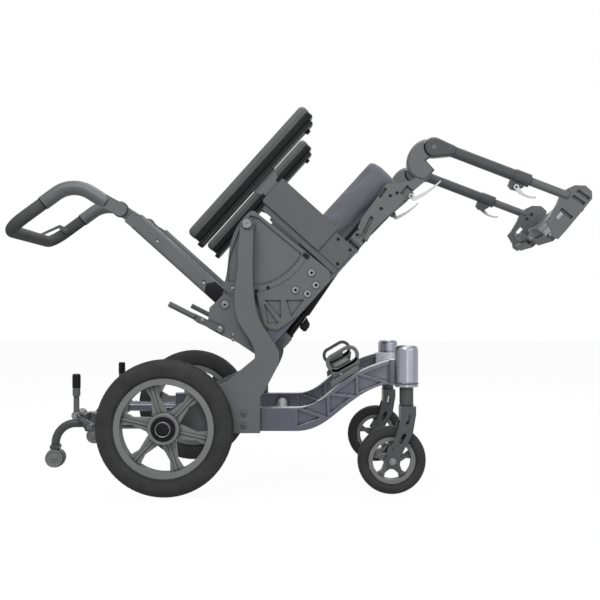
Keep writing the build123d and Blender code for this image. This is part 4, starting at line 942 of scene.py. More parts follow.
class Shop:
    """Turns bmeshes into finished pieces that ride on the chair's bodies."""

    def __init__(self, frame: Frame, finishes: Finishes) -> None:
        """Keeps what every piece needs.

        Args:
            frame: The loaded frame.
            finishes: The chair's finishes.
        """
        self.frame = frame
        self.coats = finishes.coats
        self.by_node = finishes.by_node

    def sides(self) -> Iterator[tuple[str, Matrix, Matrix]]:
        """Goes through both sides of the chair.

        Returns:
            Each side's word with the places of its base and its seat millimetres.
        """
        for side in Side:
            yield side.word, self.frame.base_place(side), self.frame.seat_place(side)

    def piece(self, bm: Shape, name: str, body: str, slot: str, *, place: Matrix | None = None,
              finish: str = "", crease: float = 35.0) -> bpy.types.Object:
        """Makes a riding object of a bmesh.

        Args:
            bm: The shape, freed here.
            name: The piece's name.
            body: The body that it rides on.
            slot: The record's material slot.
            place: Takes the shape to the row frame.
            finish: The finish, where it isn't the slot's own.
            crease: Edges sharper than this angle stay sharp.

        Returns:
            The new object.
        """
        if place is not None:
            bmesh.ops.transform(bm, matrix=place, verts=bm.verts)
        bmesh.ops.remove_doubles(bm, verts=bm.verts, dist=1e-6)
        bmesh.ops.recalc_face_normals(bm, faces=bm.faces)
        for face in bm.faces:
            face.smooth = True
        for edge in Forge.corners(bm, math.radians(crease)):
            edge.smooth = False
        mesh = bpy.data.meshes.new(name)
        bm.to_mesh(mesh)
        bm.free()
        obj = bpy.data.objects.new(name, mesh)
        bpy.context.scene.collection.objects.link(obj)
        mesh.materials.append(self.coats[finish or slot])
        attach(obj, body)
        log.info("piece %s on %s: %d faces", name, body, len(mesh.polygons))
        return obj

    def dress_nodes(self) -> None:
        """Gives every CAD node its own finish, or that of its slot."""
        for name, node in self.frame.data["nodes"].items():
            node.data.materials.clear()
            node.data.materials.append(self.coats[self.by_node.get(name, self.frame.slots[name])])


@dataclass
class Gear:
    """A group of pieces that the shop makes."""

    shop: Shop

    @staticmethod
    def both_faces(at: Point, out: float) -> Iterator[Matrix]:
        """Goes through the two faces of something, each looking away from it.

        Args:
            at: Its middle.
            out: Breadth from its middle to a face.

        Returns:
            The faces' places.
        """
        for way, turn in ((out, 0.0), (-out, 180.0)):
            yield shift(at[0], at[1] + way, at[2]) @ swing(turn, "Z")


# ---------------------------------------------------------------- wheels
@dataclass(frozen=True)
class TyreSizes:
    """Sizes of one kind of tyre, in millimetres; a smooth one has no blocks."""

    radius: float
    rim: float
    width: float
    blocks: int = 0
    block_high: float = 0.0
    block_gap: float = 0.0


@dataclass
class Wheels(Gear):
    """Tyres with their tread, hub seals, axle ends and caster bolts, in base millimetres."""

    drive: TyreSizes = TyreSizes(150.4, 109.3, 50.0, 84, 1.3, 1.0)
    caster: TyreSizes = TyreSizes(75.9, 52.3, 36.0)
    drive_at: Point = (-306.0, 280.0, 150.5)
    caster_at: Point = (192.0, 242.0, 76.0)
    caster_out: float = 31.4
    axle_end: float = 314.2
    # From bead to crown, as shares of a tyre's depth and of its half width.
    section: Outline = (
        (0.00, 0.66), (0.02, 0.78), (0.07, 0.84), (0.10, 0.82), (0.13, 0.90), (0.26, 0.97), (0.42, 1.00),
        (0.58, 0.985), (0.70, 0.93), (0.715, 0.90), (0.735, 0.90), (0.75, 0.885), (0.84, 0.77), (0.91, 0.62),
        (0.955, 0.46), (0.965, 0.42), (0.975, 0.36), (0.99, 0.20), (0.985, 0.16), (0.985, 0.12), (1.00, 0.08),
    )
    seal: Outline = ((18.5, 22.0), (18.5, 25.9), (26.5, 25.9), (27.5, 24.6), (27.5, 22.0))
    ring: Outline = ((29.2, 24.6), (29.2, 25.5), (30.0, 25.9), (32.0, 25.9), (33.4, 25.0), (33.4, 24.6))
    # The axle and its cap are measured from the axle's outer end.
    shaft: Outline = (
        (0.0, -127.2), (7.6, -127.2), (7.9, -126.6), (7.9, -8.8), (16.0, -8.8), (17.0, -7.8), (17.0, -1.6),
        (16.4, -0.6), (15.6, -0.1), (14.8, -0.5), (14.5, -1.4), (14.5, -2.5), (0.0, -2.5),
    )
    cap: Outline = (
        (14.4, -3.2), (14.4, -1.8), (13.4, -0.9), (9.0, -0.3), (8.2, -0.6), (7.6, -0.3), (4.0, -0.1),
        (0.0, -0.1),
    )
    spacer: Outline = ((8.0, -2.0), (8.0, 0.0), (4.0, 0.0))
    caster_bolt: Point = (6.2, 3.2, 2.8)
    crease: float = 28.0

    def tyre(self, sizes: TyreSizes) -> Shape:
        """A tyre's body with bead, side rings and crown; blocks stand up where it has them.

        Args:
            sizes: The tyre's sizes.

        Returns:
            The tyre about the breadth axis.
        """
        half, deep = sizes.width / 2, sizes.radius - sizes.rim
        base = sizes.radius - sizes.block_high
        near = [(min(sizes.rim + deep * share, base), half * breadth) for share, breadth in self.section]
        far = [(radius, -breadth) for radius, breadth in reversed(near)]
        bm = Forge.lathe(near + far, steps=sizes.blocks or 72, closed=True)
        if sizes.blocks:
            bmesh.ops.recalc_face_normals(bm, faces=bm.faces)
            tops = [face for face in bm.faces
                    if 0.18 * half < abs(face.calc_center_median().y) < 0.8 * half
                    and Vector(face.calc_center_median()).xz.length > sizes.rim + 0.8 * deep]
            bmesh.ops.inset_individual(bm, faces=tops, thickness=sizes.block_gap,
                                       depth=sizes.block_high * 0.7, use_even_offset=True)
        return bm

    def build(self) -> None:
        """Makes the wheels' pieces on both sides."""
        steel, caps = bmesh.new(), bmesh.new()
        for side, base, _ in self.shop.sides():
            hub, small = base @ shift(*self.drive_at), base @ shift(*self.caster_at)
            for kind, sizes, place in (("drive", self.drive, hub), ("caster", self.caster, small)):
                tread = self.shop.piece(self.tyre(sizes), f"{kind}_tread_{side}", f"{kind}_wheel_{side}",
                                        "tyre_rubber", place=place, crease=self.crease)
                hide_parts(f"{kind}_tyre_{side}")
            self.shop.piece(Forge.lathe(self.seal, closed=True), f"hub_seal_{side}", f"drive_wheel_{side}",
                            "dark_plastic", place=hub, finish="black")
            self.shop.piece(Forge.lathe(self.ring, closed=True), f"hub_ring_{side}", f"drive_wheel_{side}",
                            "wheel_plastic", place=hub)
            end = base @ shift(self.drive_at[0], self.axle_end, self.drive_at[2])
            Forge.add(steel, Forge.lathe(self.shaft), end)
            Forge.add(caps, Forge.lathe(self.cap), end)
            bolts = bmesh.new()
            for spot in self.both_faces(self.caster_at, self.caster_out):
                Forge.add(bolts, Forge.lathe(self.spacer), base @ spot)
                Forge.add(bolts, Forge.bolt(*self.caster_bolt), base @ spot)
            self.shop.piece(bolts, f"caster_bolts_{side}", f"caster_swivel_{side}", "bright_steel")
        axle = self.shop.piece(steel, "drive_axles", "base", "bright_steel")
        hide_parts("wheel_axles")
        self.shop.piece(caps, "axle_caps", "base", "dark_plastic", finish="black")


# ---------------------------------------------------------------- base
@dataclass
class BaseGear(Gear):
    """Tie-down brackets, roller covers, lock grips and fasteners of the base, in base millimetres."""

    loop_at: Pair = (84.5, 298.0)
    loop_turn: float = 30.0
    loop_length: float = 80.0
    loop_width: float = 44.0
    loop_bar: float = 8.5
    plate_y: Pair = (201.5, 207.5)
    web: Outline = (
        (59.0, 276.0), (60.0, 262.0), (68.0, 250.0), (80.0, 246.0), (104.0, 262.0), (122.0, 280.0),
        (124.0, 298.0), (116.0, 304.0), (100.0, 292.0), (76.0, 278.0),
    )
    foot: Outline = (
        (60.0, 232.0), (58.0, 244.0), (63.0, 250.0), (112.0, 282.0), (121.0, 282.0), (121.0, 272.0),
    )
    foot_y: Pair = (191.5, 218.0)
    bush_at: Point = (82.0, 194.0, 287.0)
    bush_turn: float = 28.0
    bush: Outline = ((0.0, -21.0), (4.0, -21.0), (4.4, -20.2), (4.4, -18.0), (7.6, -18.0), (8.2, -17.0),
                     (8.2, 17.0), (7.6, 18.0), (4.4, 18.0), (4.4, 21.0), (0.0, 21.0))
    # Bolts are given as radius, height and radius of the socket.
    bolt_at: Point = (82.0, 207.5, 262.0)
    bolt: Point = (4.6, 2.6, 2.2)
    screws_at: Sequence[Point] = ((-276.0, 246.0, 178.0), (-136.0, 246.0, 152.0), (-136.0, 246.0, 178.0))
    screw: Point = (6.0, 3.4, 2.6)
    stem_at: Point = (225.0, 242.0, 246.0)
    stem_band: Outline = ((26.4, -2.6), (27.0, -1.6), (27.0, 1.6), (26.4, 2.6))
    roller_at: Point = (-563.0, 204.5, 75.0)
    roller_out: float = 15.3
    roller_cover: Outline = ((0.0, 0.0), (18.6, 0.0), (19.8, 0.8), (19.8, 2.0), (18.8, 3.0), (16.8, 3.0),
                             (15.6, 1.6), (9.4, 1.2), (8.4, 2.4), (6.0, 2.8), (0.0, 2.8))
    roller_bolt: Point = (4.4, 2.4, 2.0)
    bolt_sunk: float = 2.6
    lock_at: Point = (-502.0, 268.0, 176.0)
    lock_nut: Outline = ((4.2, 0.8), (9.0, 0.8), (9.0, 2.2), (7.4, 2.6), (7.4, 8.8), (6.4, 10.0), (4.4, 13.4),
                         (0.0, 14.0), (0.0, 13.0), (4.2, 12.4))
    grip_in: float = 4.2
    grip_ends: Pair = (60.0, 91.0)
    grip_ribs: int = 11
    rib_pitch: float = 2.6

    def loop(self) -> Shape:
        """A flat ring shaped like a running track, on edge at the bracket's head.

        Returns:
            The ring in base millimetres.
        """
        bm, rings = bmesh.new(), []
        turn = shift(self.loop_at[0], 0.0, self.loop_at[1]) @ swing(-self.loop_turn, "Y")
        reach, (low, high) = (self.loop_length - self.loop_width) / 2, self.plate_y
        for inset, breadth in ((0.0, low), (self.loop_bar, low), (self.loop_bar, high), (0.0, high)):
            made = bmesh.ops.create_circle(bm, cap_ends=False, radius=self.loop_width / 2 - inset,
                                           segments=32, matrix=swing(90.0, "X"))["verts"]
            for vert in made:
                vert.co.x += math.copysign(reach, vert.co.x + 1e-4)
            bmesh.ops.transform(bm, matrix=shift(0.0, breadth, 0.0) @ turn, verts=made)
            rings.append(list({edge for vert in made for edge in vert.link_edges}))
        for first, second in zip(rings, rings[1:] + rings[:1]):
            bmesh.ops.bridge_loops(bm, edges=first + second)
        bmesh.ops.recalc_face_normals(bm, faces=bm.faces)
        Forge.soften(bm, Forge.corners(bm), 1.4)
        return bm

    def tie_downs(self, side: str, base: Matrix) -> None:
        """The transport tie-down brackets with their loops, feet, bushes and bolts.

        Args:
            side: The side's word.
            base: Takes base millimetres to the row frame.
        """
        bm = self.loop()
        Forge.add(bm, Forge.plate(self.web, *self.plate_y, 1.2))
        Forge.add(bm, Forge.plate(self.foot, *self.foot_y, 1.5))
        bracket = self.shop.piece(bm, f"tie_down_loop_{side}", "base", "frame_metal", place=base)
        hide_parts(f"tie_down_bracket_{side}")
        bush = Forge.lathe(self.bush, steps=32)
        bush.transform(swing(90.0, "Z"))
        self.shop.piece(bush, f"tie_down_bush_{side}", "base", "wheel_plastic",
                        place=base @ shift(*self.bush_at) @ swing(-self.bush_turn, "Y"))
        self.shop.piece(Forge.bolt(*self.bolt), f"tie_down_bolt_{side}", "base", "bright_steel",
                        place=base @ shift(*self.bolt_at))

    def fasteners(self, side: str, base: Matrix) -> None:
        """Screws through the tilt arms' feet, and the band round each caster housing's stem.

        Args:
            side: The side's word.
            base: Takes base millimetres to the row frame.
        """
        bm = bmesh.new()
        for spot in self.screws_at:
            Forge.add(bm, Forge.bolt(*self.screw), base @ shift(*spot))
        self.shop.piece(bm, f"arm_screws_{side}", "base", "frame_metal")
        stem = Forge.lathe(self.stem_band, closed=True)
        stem.transform(swing(90.0, "X"))
        self.shop.piece(stem, f"housing_band_{side}", "base", "rail_metal", place=base @ shift(*self.stem_at))

    def rollers(self, side: str, base: Matrix) -> None:
        """Dished covers with a bolt on both sides of each anti-tip roller.

        Args:
            side: The side's word.
            base: Takes base millimetres to the row frame.
        """
        covers, bolts = bmesh.new(), bmesh.new()
        for spot in self.both_faces(self.roller_at, self.roller_out):
            Forge.add(covers, Forge.lathe(self.roller_cover, steps=48), base @ spot)
            Forge.add(bolts, Forge.bolt(*self.roller_bolt), base @ spot @ shift(0.0, self.bolt_sunk, 0.0))
        self.shop.piece(covers, f"roller_covers_{side}", f"anti_tip_roller_{side}", "wheel_plastic")
        self.shop.piece(bolts, f"roller_bolts_{side}", f"anti_tip_roller_{side}", "bright_steel")

    def locks(self, side: str, base: Matrix) -> None:
        """The wheel locks' pivot nuts and the ribbed grips of their levers.

        Args:
            side: The side's word.
            base: Takes base millimetres to the row frame.
        """
        nut = Forge.lathe(self.lock_nut, steps=6, closed=True)
        self.shop.piece(nut, f"lock_nut_{side}", "base", "bright_steel", place=base @ shift(*self.lock_at),
                        crease=20.0)
        first, last = self.grip_ends
        ribs = [(9.5 if step % 2 else 8.7, first + 2.0 + self.rib_pitch * step)
                for step in range(self.grip_ribs)]
        grip = Forge.lathe([(8.4, first), *ribs, (8.7, last), (8.4, last)], steps=40, closed=True)
        grip.transform(swing(90.0, "X"))
        self.shop.piece(grip, f"lock_grip_{side}", f"wheel_lock_{side}", "dark_plastic",
                        place=base @ shift(*self.lock_at) @ shift(0.0, -self.grip_in, 0.0), finish="black")

    def build(self) -> None:
        """Makes the base's pieces on both sides."""
        for make in (self.tie_downs, self.fasteners, self.rollers, self.locks):
            for side, base, _ in self.shop.sides():
                make(side, base)


# ---------------------------------------------------------------- seat
@dataclass(frozen=True)
class Heads:
    """Bolt heads of one kind on one face of the seat; a washer of nought is none."""

    points: Outline
    face: float
    radius: float
    height: float
    washer: float = 0.0

    def shape(self, place: Matrix) -> Shape:
        """Makes the heads.

        Args:
            place: Takes seat millimetres to the row frame.

        Returns:
            All the heads, in the row frame.
        """
        bm = bmesh.new()
        ring = ((self.radius * 0.7, 0.9), (self.washer - 0.3, 0.9), (self.washer, 0.5), (self.washer, 0.0))
        for u, w in self.points:
            spot = place @ shift(u, self.face, w)
            if self.washer:
                Forge.add(bm, Forge.lathe(ring, steps=32), spot)
            Forge.add(bm, Forge.bolt(self.radius, self.height, self.radius * 0.48), spot)
        return bm


@dataclass
class SeatGear(Gear):
    """Tilt scale, struts, recline heads and fasteners of the seat, in seat millimetres."""

    arc_radii: Pair = (139.5, 150.6)
    arc_sweep: Pair = (-128.0, -76.0)
    arc_y: Pair = (215.4, 217.3)
    arc_teeth: int = 17
    arc_tooth: float = 2.4
    stop: Outline = ((33.0, -151.0), (41.5, -149.0), (39.0, -136.0), (30.5, -138.0))
    stop_y: Pair = (215.4, 219.6)
    # Black discs on the band where it has holes: painted shade standing for the holes.
    plugs: Outline = ((-74.2, -127.8), (-97.3, -113.6))
    plug: Outline = ((0.0, 216.4), (3.9, 216.4), (3.9, 217.5), (3.2, 218.0), (2.6, 217.4), (0.0, 217.4))
    strut_y: float = 165.0
    strut_run: Outline = ((56.0, -211.5), (-62.0, -227.0), (-139.0, -235.0))
    strut_radii: Pair = (12.0, 9.0)
    eye_radii: Pair = (10.0, 11.5)
    tab: Outline = ((-66.0, -238.0), (-72.0, -253.0), (-78.0, -256.5), (-91.0, -257.5), (-95.0, -252.0),
                    (-94.0, -240.0))
    tab_half: float = 6.0
    hanger: Outline = ((-152.0, -246.0), (-126.0, -246.0), (-122.0, -238.0), (-124.0, -200.0),
                       (-154.0, -200.0), (-156.0, -238.0))
    hanger_y: Pair = (177.4, 181.9)
    pin: Outline = ((0.0, -14.5), (5.6, -14.5), (6.2, -13.8), (6.2, -10.4), (4.0, -10.4), (4.0, 18.0),
                    (0.0, 18.0))
    recline_heads: Sequence[Heads] = (Heads(((-167.0, -81.0),), 215.0, 5.8, 2.6, 8.8),
                                      Heads(((-215.0, -110.0),), 218.6, 4.6, 4.4, 7.2))
    lever_rivet: Sequence[Heads] = (Heads(((-227.0, -67.0),), 217.3, 3.4, 1.8, 4.8),)
    wear: Outline = ((-178.0, -28.0), (-161.0, -18.0), (-143.5, -30.0), (-143.5, -56.0), (-156.0, -60.5),
                     (-178.5, -60.5))
    wear_y: Pair = (204.9, 205.8)
    sector_bolts: Heads = Heads(((16.0, -178.0), (2.0, -204.0), (-37.0, -177.0), (-25.0, -203.0)),
                                219.0, 3.2, 1.8)
    panel_bolts: Heads = Heads(((70.0, -208.0), (112.0, -208.0), (112.0, -172.0)), 220.0, 3.3, 2.0)
    sector_face: float = 218.0
    washer: Outline = ((2.2, 0.0), (2.2, 0.9), (3.6, 1.2), (7.2, 1.2), (7.9, 0.6), (7.9, 0.0))
    bracket_bolts: Sequence[Heads] = (Heads(((-214.0, -148.0), (-205.0, -140.0)), 212.0, 3.6, 2.0),
                                      Heads(((-129.0, -71.5),), 216.0, 3.6, 2.2, 5.2))

    def tilt_scale(self, side: str, seat: Matrix) -> None:
        """The toothed arc on the sector's rim, its end stop, and black discs on the band where it has holes, as
        painted shade standing for the holes.

        Args:
            side: The side's word.
            seat: Takes seat millimetres to the row frame.
        """
        band = Forge.arc_band(self.arc_radii, self.arc_sweep, self.arc_y, self.arc_teeth, self.arc_tooth)
        self.shop.piece(band, f"tilt_scale_{side}", "seat", "frame_metal", place=seat, crease=20.0)
        stops = Forge.plate(self.stop, *self.stop_y, 1.0)
        # Painted shade: black dished discs stand where the band has holes.
        for u, w in self.plugs:
            Forge.add(stops, Forge.lathe(self.plug, steps=24), shift(u, 0.0, w))
        self.shop.piece(stops, f"sector_plugs_{side}", "seat", "dark_plastic", place=seat, finish="black")

    def struts(self, side: str, seat: Matrix) -> None:
        """The tilt lock unit under a seat rail: cylinder, rod and eyes, pinned to the rail's inner face.

        Args:
            side: The side's word.
            seat: Takes seat millimetres to the row frame.
        """
        y = self.strut_y
        front, middle, rear = (Vector((u, y, w)) for u, w in self.strut_run)
        body = Forge.pipe([front, middle], self.strut_radii[0])
        overlap = (middle - front).normalized() * 2.0
        Forge.add(body, Forge.pipe([middle - overlap, rear], self.strut_radii[1]))
        Forge.soften(body, Forge.corners(body), 1.2)
        for spot, radius in zip((front, rear), self.eye_radii):
            eye = Forge.lathe(((0.0, -9.0), (radius - 1.0, -9.0), (radius, -8.0), (radius, 8.0),
                               (radius - 1.0, 9.0), (0.0, 9.0)), steps=32)
            Forge.add(body, eye, Matrix.Translation(spot))
        Forge.add(body, Forge.plate(self.tab, y - self.tab_half, y + self.tab_half, 1.5))
        self.shop.piece(body, f"tilt_strut_{side}", "seat", "dark_plastic", place=seat, finish="black")
        pins = Forge.add(bmesh.new(), Forge.plate(self.hanger, *self.hanger_y, 1.0), seat)
        for spot in (front, rear):
            Forge.add(pins, Forge.lathe(self.pin, steps=32), seat @ Matrix.Translation(spot))
        self.shop.piece(pins, f"strut_hangers_{side}", "seat", "frame_metal")

    def heads(self, kinds: Sequence[Heads], name: str, body: str, seat: Matrix, slot: str = "bright_steel",
              finish: str = "") -> None:
        """Makes one piece of several kinds of bolt heads.

        Args:
            kinds: The kinds.
            name: The piece's name.
            body: The body that it rides on.
            seat: Takes seat millimetres to the row frame.
            slot: The record's material slot.
            finish: The finish, where it isn't the slot's own.
        """
        bm = bmesh.new()
        for kind in kinds:
            Forge.add(bm, kind.shape(seat))
        self.shop.piece(bm, name, body, slot, finish=finish)

    def back_gear(self, side: str, seat: Matrix) -> None:
        """Pivot heads of the recline, its lever's rivet and the wear plate on the cane's foot.

        Args:
            side: The side's word.
            seat: Takes seat millimetres to the row frame.
        """
        self.heads(self.recline_heads, f"recline_heads_{side}", "seat", seat)
        self.heads(self.lever_rivet, f"lever_rivet_{side}", f"recline_lever_{side}", seat)
        self.shop.piece(Forge.plate(self.wear, *self.wear_y, 0.3), f"cane_wear_plate_{side}", "back",
                        "dark_plastic", place=seat, finish="black")

    def bolts(self, side: str, seat: Matrix) -> None:
        """Bolts of the sector and the armrest panel, the sector's washers and the bracket's bolts.

        Args:
            side: The side's word.
            seat: Takes seat millimetres to the row frame.
        """
        self.heads((self.sector_bolts, self.panel_bolts), f"seat_bolts_{side}", "seat", seat,
                   "dark_plastic", "black")
        rings = bmesh.new()
        for u, w in self.sector_bolts.points:
            ring = Forge.lathe(self.washer, steps=40, closed=True)
            Forge.add(rings, ring, seat @ shift(u, self.sector_face, w))
        self.shop.piece(rings, f"sector_washers_{side}", "seat", "bright_steel")
        self.heads(self.bracket_bolts, f"bracket_bolts_{side}", "seat", seat)

    def build(self) -> None:
        """Makes the seat's scale, struts and fasteners on both sides."""
        for make in (self.tilt_scale, self.struts, self.back_gear, self.bolts):
            for side, _, seat in self.shop.sides():
                make(side, seat)


# ---------------------------------------------------------------- soft pieces
@dataclass
class Upholstery(Gear):
    """The seat cushion and the armrest pads, in seat millimetres."""

    pad_ends: Pair = (-103.0, 281.0)
    pad_y: float = 208.0
    pad_width: float = 52.0
    pad_top: float = 90.0
    pad_base: float = 54.0
    pad_seam: float = 68.5
    # Radii of a block's upright corners, its top rim and its lower rim.
    pad_radii: Point = (14.0, 10.5, 3.0)
    sole_radii: Point = (13.0, 1.4, 4.5)
    tray_radii: Point = (8.0, 1.0, 3.6)
    cushion_radii: Point = (22.0, 20.0, 7.0)
    sole_inset: float = 3.0
    crease: float = 60.0
    tray_size: Point = (376.4, 41.4, 10.8)
    tray_at: Pair = (80.0, -5.2)
    peg: Outline = ((0.0, -7.0), (5.0, -7.0), (6.0, -6.0), (6.0, 0.0), (0.0, 0.0))
    peg_at: Point = (167.0, 0.0, -5.0)
    cushion_ends: Pair = (-128.0, 308.0)
    cushion_half: float = 200.0
    cushion_low: float = -188.7
    cushion_thick: float = 85.0
    swell: float = 9.0
    voxel: float = 5.0
    frames: int = 20
    pressure: float = 4.0
    stiffness: float = 40.0
    seams: Pair = (0.52, -0.72)
    seam_depth: float = 1.6
    seam_width: float = 2.2
    waist: float = 4.0
    rim_drop: float = 5.0
    crown: float = 6.5

    def pads(self) -> None:
        """The armrest pads: moulded foam on a black base, over a black tray cover with a stop peg."""
        first, last = self.pad_ends
        length, middle = last - first, (first + last) / 2
        foam, sole = self.pad_top - self.pad_seam, self.pad_seam - self.pad_base
        for side, _, seat in self.shop.sides():
            body = f"armrest_{side}"
            bm = Forge.block((length, self.pad_width, foam), *self.pad_radii)
            Forge.seam(bm, -foam * 0.28, 1.6, 0.5)
            pad = self.shop.piece(bm, f"arm_pad_{side}", body, "pad_foam", crease=self.crease,
                                  place=seat @ shift(middle, self.pad_y, self.pad_top - foam / 2))
            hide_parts(f"armrest_pad_{side}")
            base = Forge.block((length - self.sole_inset, self.pad_width - self.sole_inset, sole + 0.6),
                               *self.sole_radii)
            self.shop.piece(base, f"arm_pad_base_{side}", body, "dark_plastic", finish="black",
                            crease=self.crease, place=seat @ shift(middle, self.pad_y, self.pad_base + sole / 2))
            tray = Forge.block(self.tray_size, *self.tray_radii)
            peg = Forge.lathe(self.peg, steps=24)
            peg.transform(swing(90.0, "X"))
            Forge.add(tray, peg, shift(*self.peg_at))
            self.shop.piece(tray, f"arm_tray_{side}", body, "dark_plastic", finish="tray", crease=self.crease,
                            place=seat @ shift(self.tray_at[0], self.pad_y, self.pad_base + self.tray_at[1]))

    def cushion(self) -> None:
        """The seat cushion: a boxed foam block in a stretch cover that swells between its seams."""
        length, slim = self.cushion_ends[1] - self.cushion_ends[0], self.swell * 0.6
        bm = Forge.block((length - slim, 2 * self.cushion_half - slim, self.cushion_thick - slim),
                         *self.cushion_radii)
        bmesh.ops.triangulate(bm, faces=[face for face in bm.faces if len(face.verts) > 4])
        place = self.shop.frame.seat_place(Side.RIGHT) @ shift(
            sum(self.cushion_ends) / 2, 0.0, self.cushion_low + self.cushion_thick / 2)
        cushion = self.shop.piece(bm, "cushion", "seat", "cushion_cloth", place=place, crease=self.crease)
        self.remesh(cushion)
        self.inflate(cushion)
        self.stitch(cushion, place)
        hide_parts("seat_cushion")

    def remesh(self, obj: bpy.types.Object) -> None:
        """Gives a piece an even mesh and applies it.

        Args:
            obj: The piece.
        """
        grid = obj.modifiers.new("grid", "REMESH")
        grid.mode = "VOXEL"
        grid.voxel_size = self.voxel * MM
        grid.use_smooth_shade = True
        self.apply(obj)

    @staticmethod
    def apply(obj: bpy.types.Object) -> None:
        """Turns a piece's modifiers into its mesh.

        Args:
            obj: The piece.
        """
        shaped = bpy.data.meshes.new_from_object(obj.evaluated_get(bpy.context.evaluated_depsgraph_get()))
        obj.modifiers.clear()
        old, obj.data = obj.data, shaped
        name = old.name
        bpy.data.meshes.remove(old)
        shaped.name = name

    def inflate(self, obj: bpy.types.Object) -> None:
        """Swells a piece with the cloth solver and caps how far each point may go.

        Args:
            obj: The piece.
        """
        rest = [vert.co.copy() for vert in obj.data.vertices]
        cloth = obj.modifiers.new("cover", "CLOTH")
        cloth.settings.use_pressure = True
        cloth.settings.uniform_pressure_force = self.pressure
        cloth.settings.effector_weights.gravity = 0.0
        cloth.settings.tension_stiffness = cloth.settings.compression_stiffness = self.stiffness
        cloth.point_cache.frame_end = self.frames
        scene = bpy.context.scene
        for frame in range(1, self.frames + 1):
            scene.frame_set(frame)
        self.apply(obj)
        scene.frame_set(1)
        cap = self.swell * MM
        for vert, start in zip(obj.data.vertices, rest):
            way = vert.co - start
            if way.length > cap:
                vert.co = start + way.normalized() * cap

    def stitch(self, obj: bpy.types.Object, place: Matrix) -> None:
        """Pulls seams into the cushion's sides and draws its sides in, then keeps it in its space.

        Args:
            obj: The cushion.
            place: Takes the cushion's own millimetres to the row frame.
        """
        half_u, half_w = (self.cushion_ends[1] - self.cushion_ends[0]) / 2, self.cushion_thick / 2
        bm = bmesh.new()
        bm.from_mesh(obj.data)
        bmesh.ops.transform(bm, matrix=place.inverted(), verts=bm.verts)
        bmesh.ops.recalc_face_normals(bm, faces=bm.faces)
        bm.normal_update()
        for vert in bm.verts:
            spot, normal = vert.co.copy(), vert.normal
            bow_u, bow_v = 1 - (spot.x / half_u) ** 2, 1 - (spot.y / self.cushion_half) ** 2
            drawn = self.waist * (bow_u * abs(normal.y) + bow_v * abs(normal.x))
            depth = sum(self.seam_depth * math.exp(-((spot.z - half_w * level) / self.seam_width) ** 2)
                        for level in self.seams)
            vert.co -= Vector((normal.x, normal.y, 0.0)) * (drawn + depth)
            if normal.z > 0.3:
                top = half_w - self.rim_drop + self.crown * max(0.0, bow_u) * max(0.0, bow_v)
                vert.co.z = min(vert.co.z, top)
            vert.co.z = max(vert.co.z, -half_w)
        bmesh.ops.smooth_vert(bm, verts=bm.verts, factor=0.25, use_axis_x=True, use_axis_y=True,
                              use_axis_z=True)
        bmesh.ops.transform(bm, matrix=place, verts=bm.verts)
        bmesh.ops.recalc_face_normals(bm, faces=bm.faces)
        for face in bm.faces:
            face.smooth = True
        bm.to_mesh(obj.data)
        bm.free()
        fine = obj.modifiers.new("fine", "SUBSURF")
        fine.levels = fine.render_levels = 1

    def build(self) -> None:
        """Makes the soft pieces."""
        self.pads()
        self.cushion()


# ---------------------------------------------------------------- handle and footplates
@dataclass
class Handle(Gear):
    """Foam sleeve and collars of the push handle, in seat millimetres."""

    half: float = 195.0
    bend: Point = (-191.0, 0.0, 363.0)
    grip: Point = (-373.0, 0.0, 401.0)
    arm_length: float = 82.5
    turn: float = 45.0
    sleeve: float = 14.72
    collar: Outline = ((14.0, -1.2), (16.4, -1.2), (16.4, 1.6), (15.6, 2.6), (14.0, 2.6))

    def build(self) -> None:
        """The sleeve round the cross bar and down both sides, with a collar at each end."""
        corner, across = Vector(self.grip), Vector((0.0, self.half, 0.0))
        run = (corner - Vector(self.bend)).normalized()
        start = Vector(self.bend) + run * self.arm_length
        seat = self.shop.frame.seat_place(Side.RIGHT)
        route = [start + across, corner + across, corner - across, start - across]
        self.shop.piece(Forge.pipe(route, self.sleeve, self.turn), "grip_sleeve", "handle", "frame_metal",
                        place=seat, finish="grip", crease=50.0)
        collars = bmesh.new()
        tilt = Vector((0.0, 1.0, 0.0)).rotation_difference(run).to_matrix().to_4x4()
        for end in (start + across, start - across):
            ring = Forge.lathe(self.collar, steps=48, closed=True)
            Forge.add(collars, ring, seat @ Matrix.Translation(end) @ tilt)
        self.shop.piece(collars, "grip_collars", "handle", "dark_plastic", finish="black")


@dataclass
class LegGear(Gear):
    """Heel guards of the footplates, in millimetres from the footplates' hinges."""

    hinge: Point = (532.4, 0.0, -491.2)
    heel: float = -83.9
    sole: float = -37.0
    guard_high: float = 34.0
    guard_thick: float = 4.4
    guard_ends: Pair = (26.0, 124.0)
    foot: Pair = (16.0, 3.0)

    def build(self) -> None:
        """A curved wall along each footplate's heel, with a foot on the sole."""
        near, far = self.guard_ends
        low, high = self.sole - 1.0, self.sole + self.guard_high
        outline = ((near, low), (far, low), (far, low + 9.0), (far - 14.0, high - 5.0), (far - 24.0, high),
                   (near + 24.0, high), (near + 8.0, high - 9.0), (near, low + 14.0))
        swap = Matrix(((0.0, 1.0, 0.0), (1.0, 0.0, 0.0), (0.0, 0.0, 1.0))).to_4x4()
        for side, _, seat in self.shop.sides():
            wall = Forge.plate(outline, self.heel, self.heel + self.guard_thick, 1.2)
            wall.transform(swap)
            foot = Forge.box((self.foot[0], far - near - 8.0, self.foot[1]))
            Forge.soften(foot, foot.edges, 1.0)
            Forge.add(wall, foot, shift(self.heel + 9.0, (near + far) / 2, low + 1.0))
            self.shop.piece(wall, f"heel_guard_{side}", f"footplate_{side}", "dark_plastic",
                            place=seat @ shift(*self.hinge))


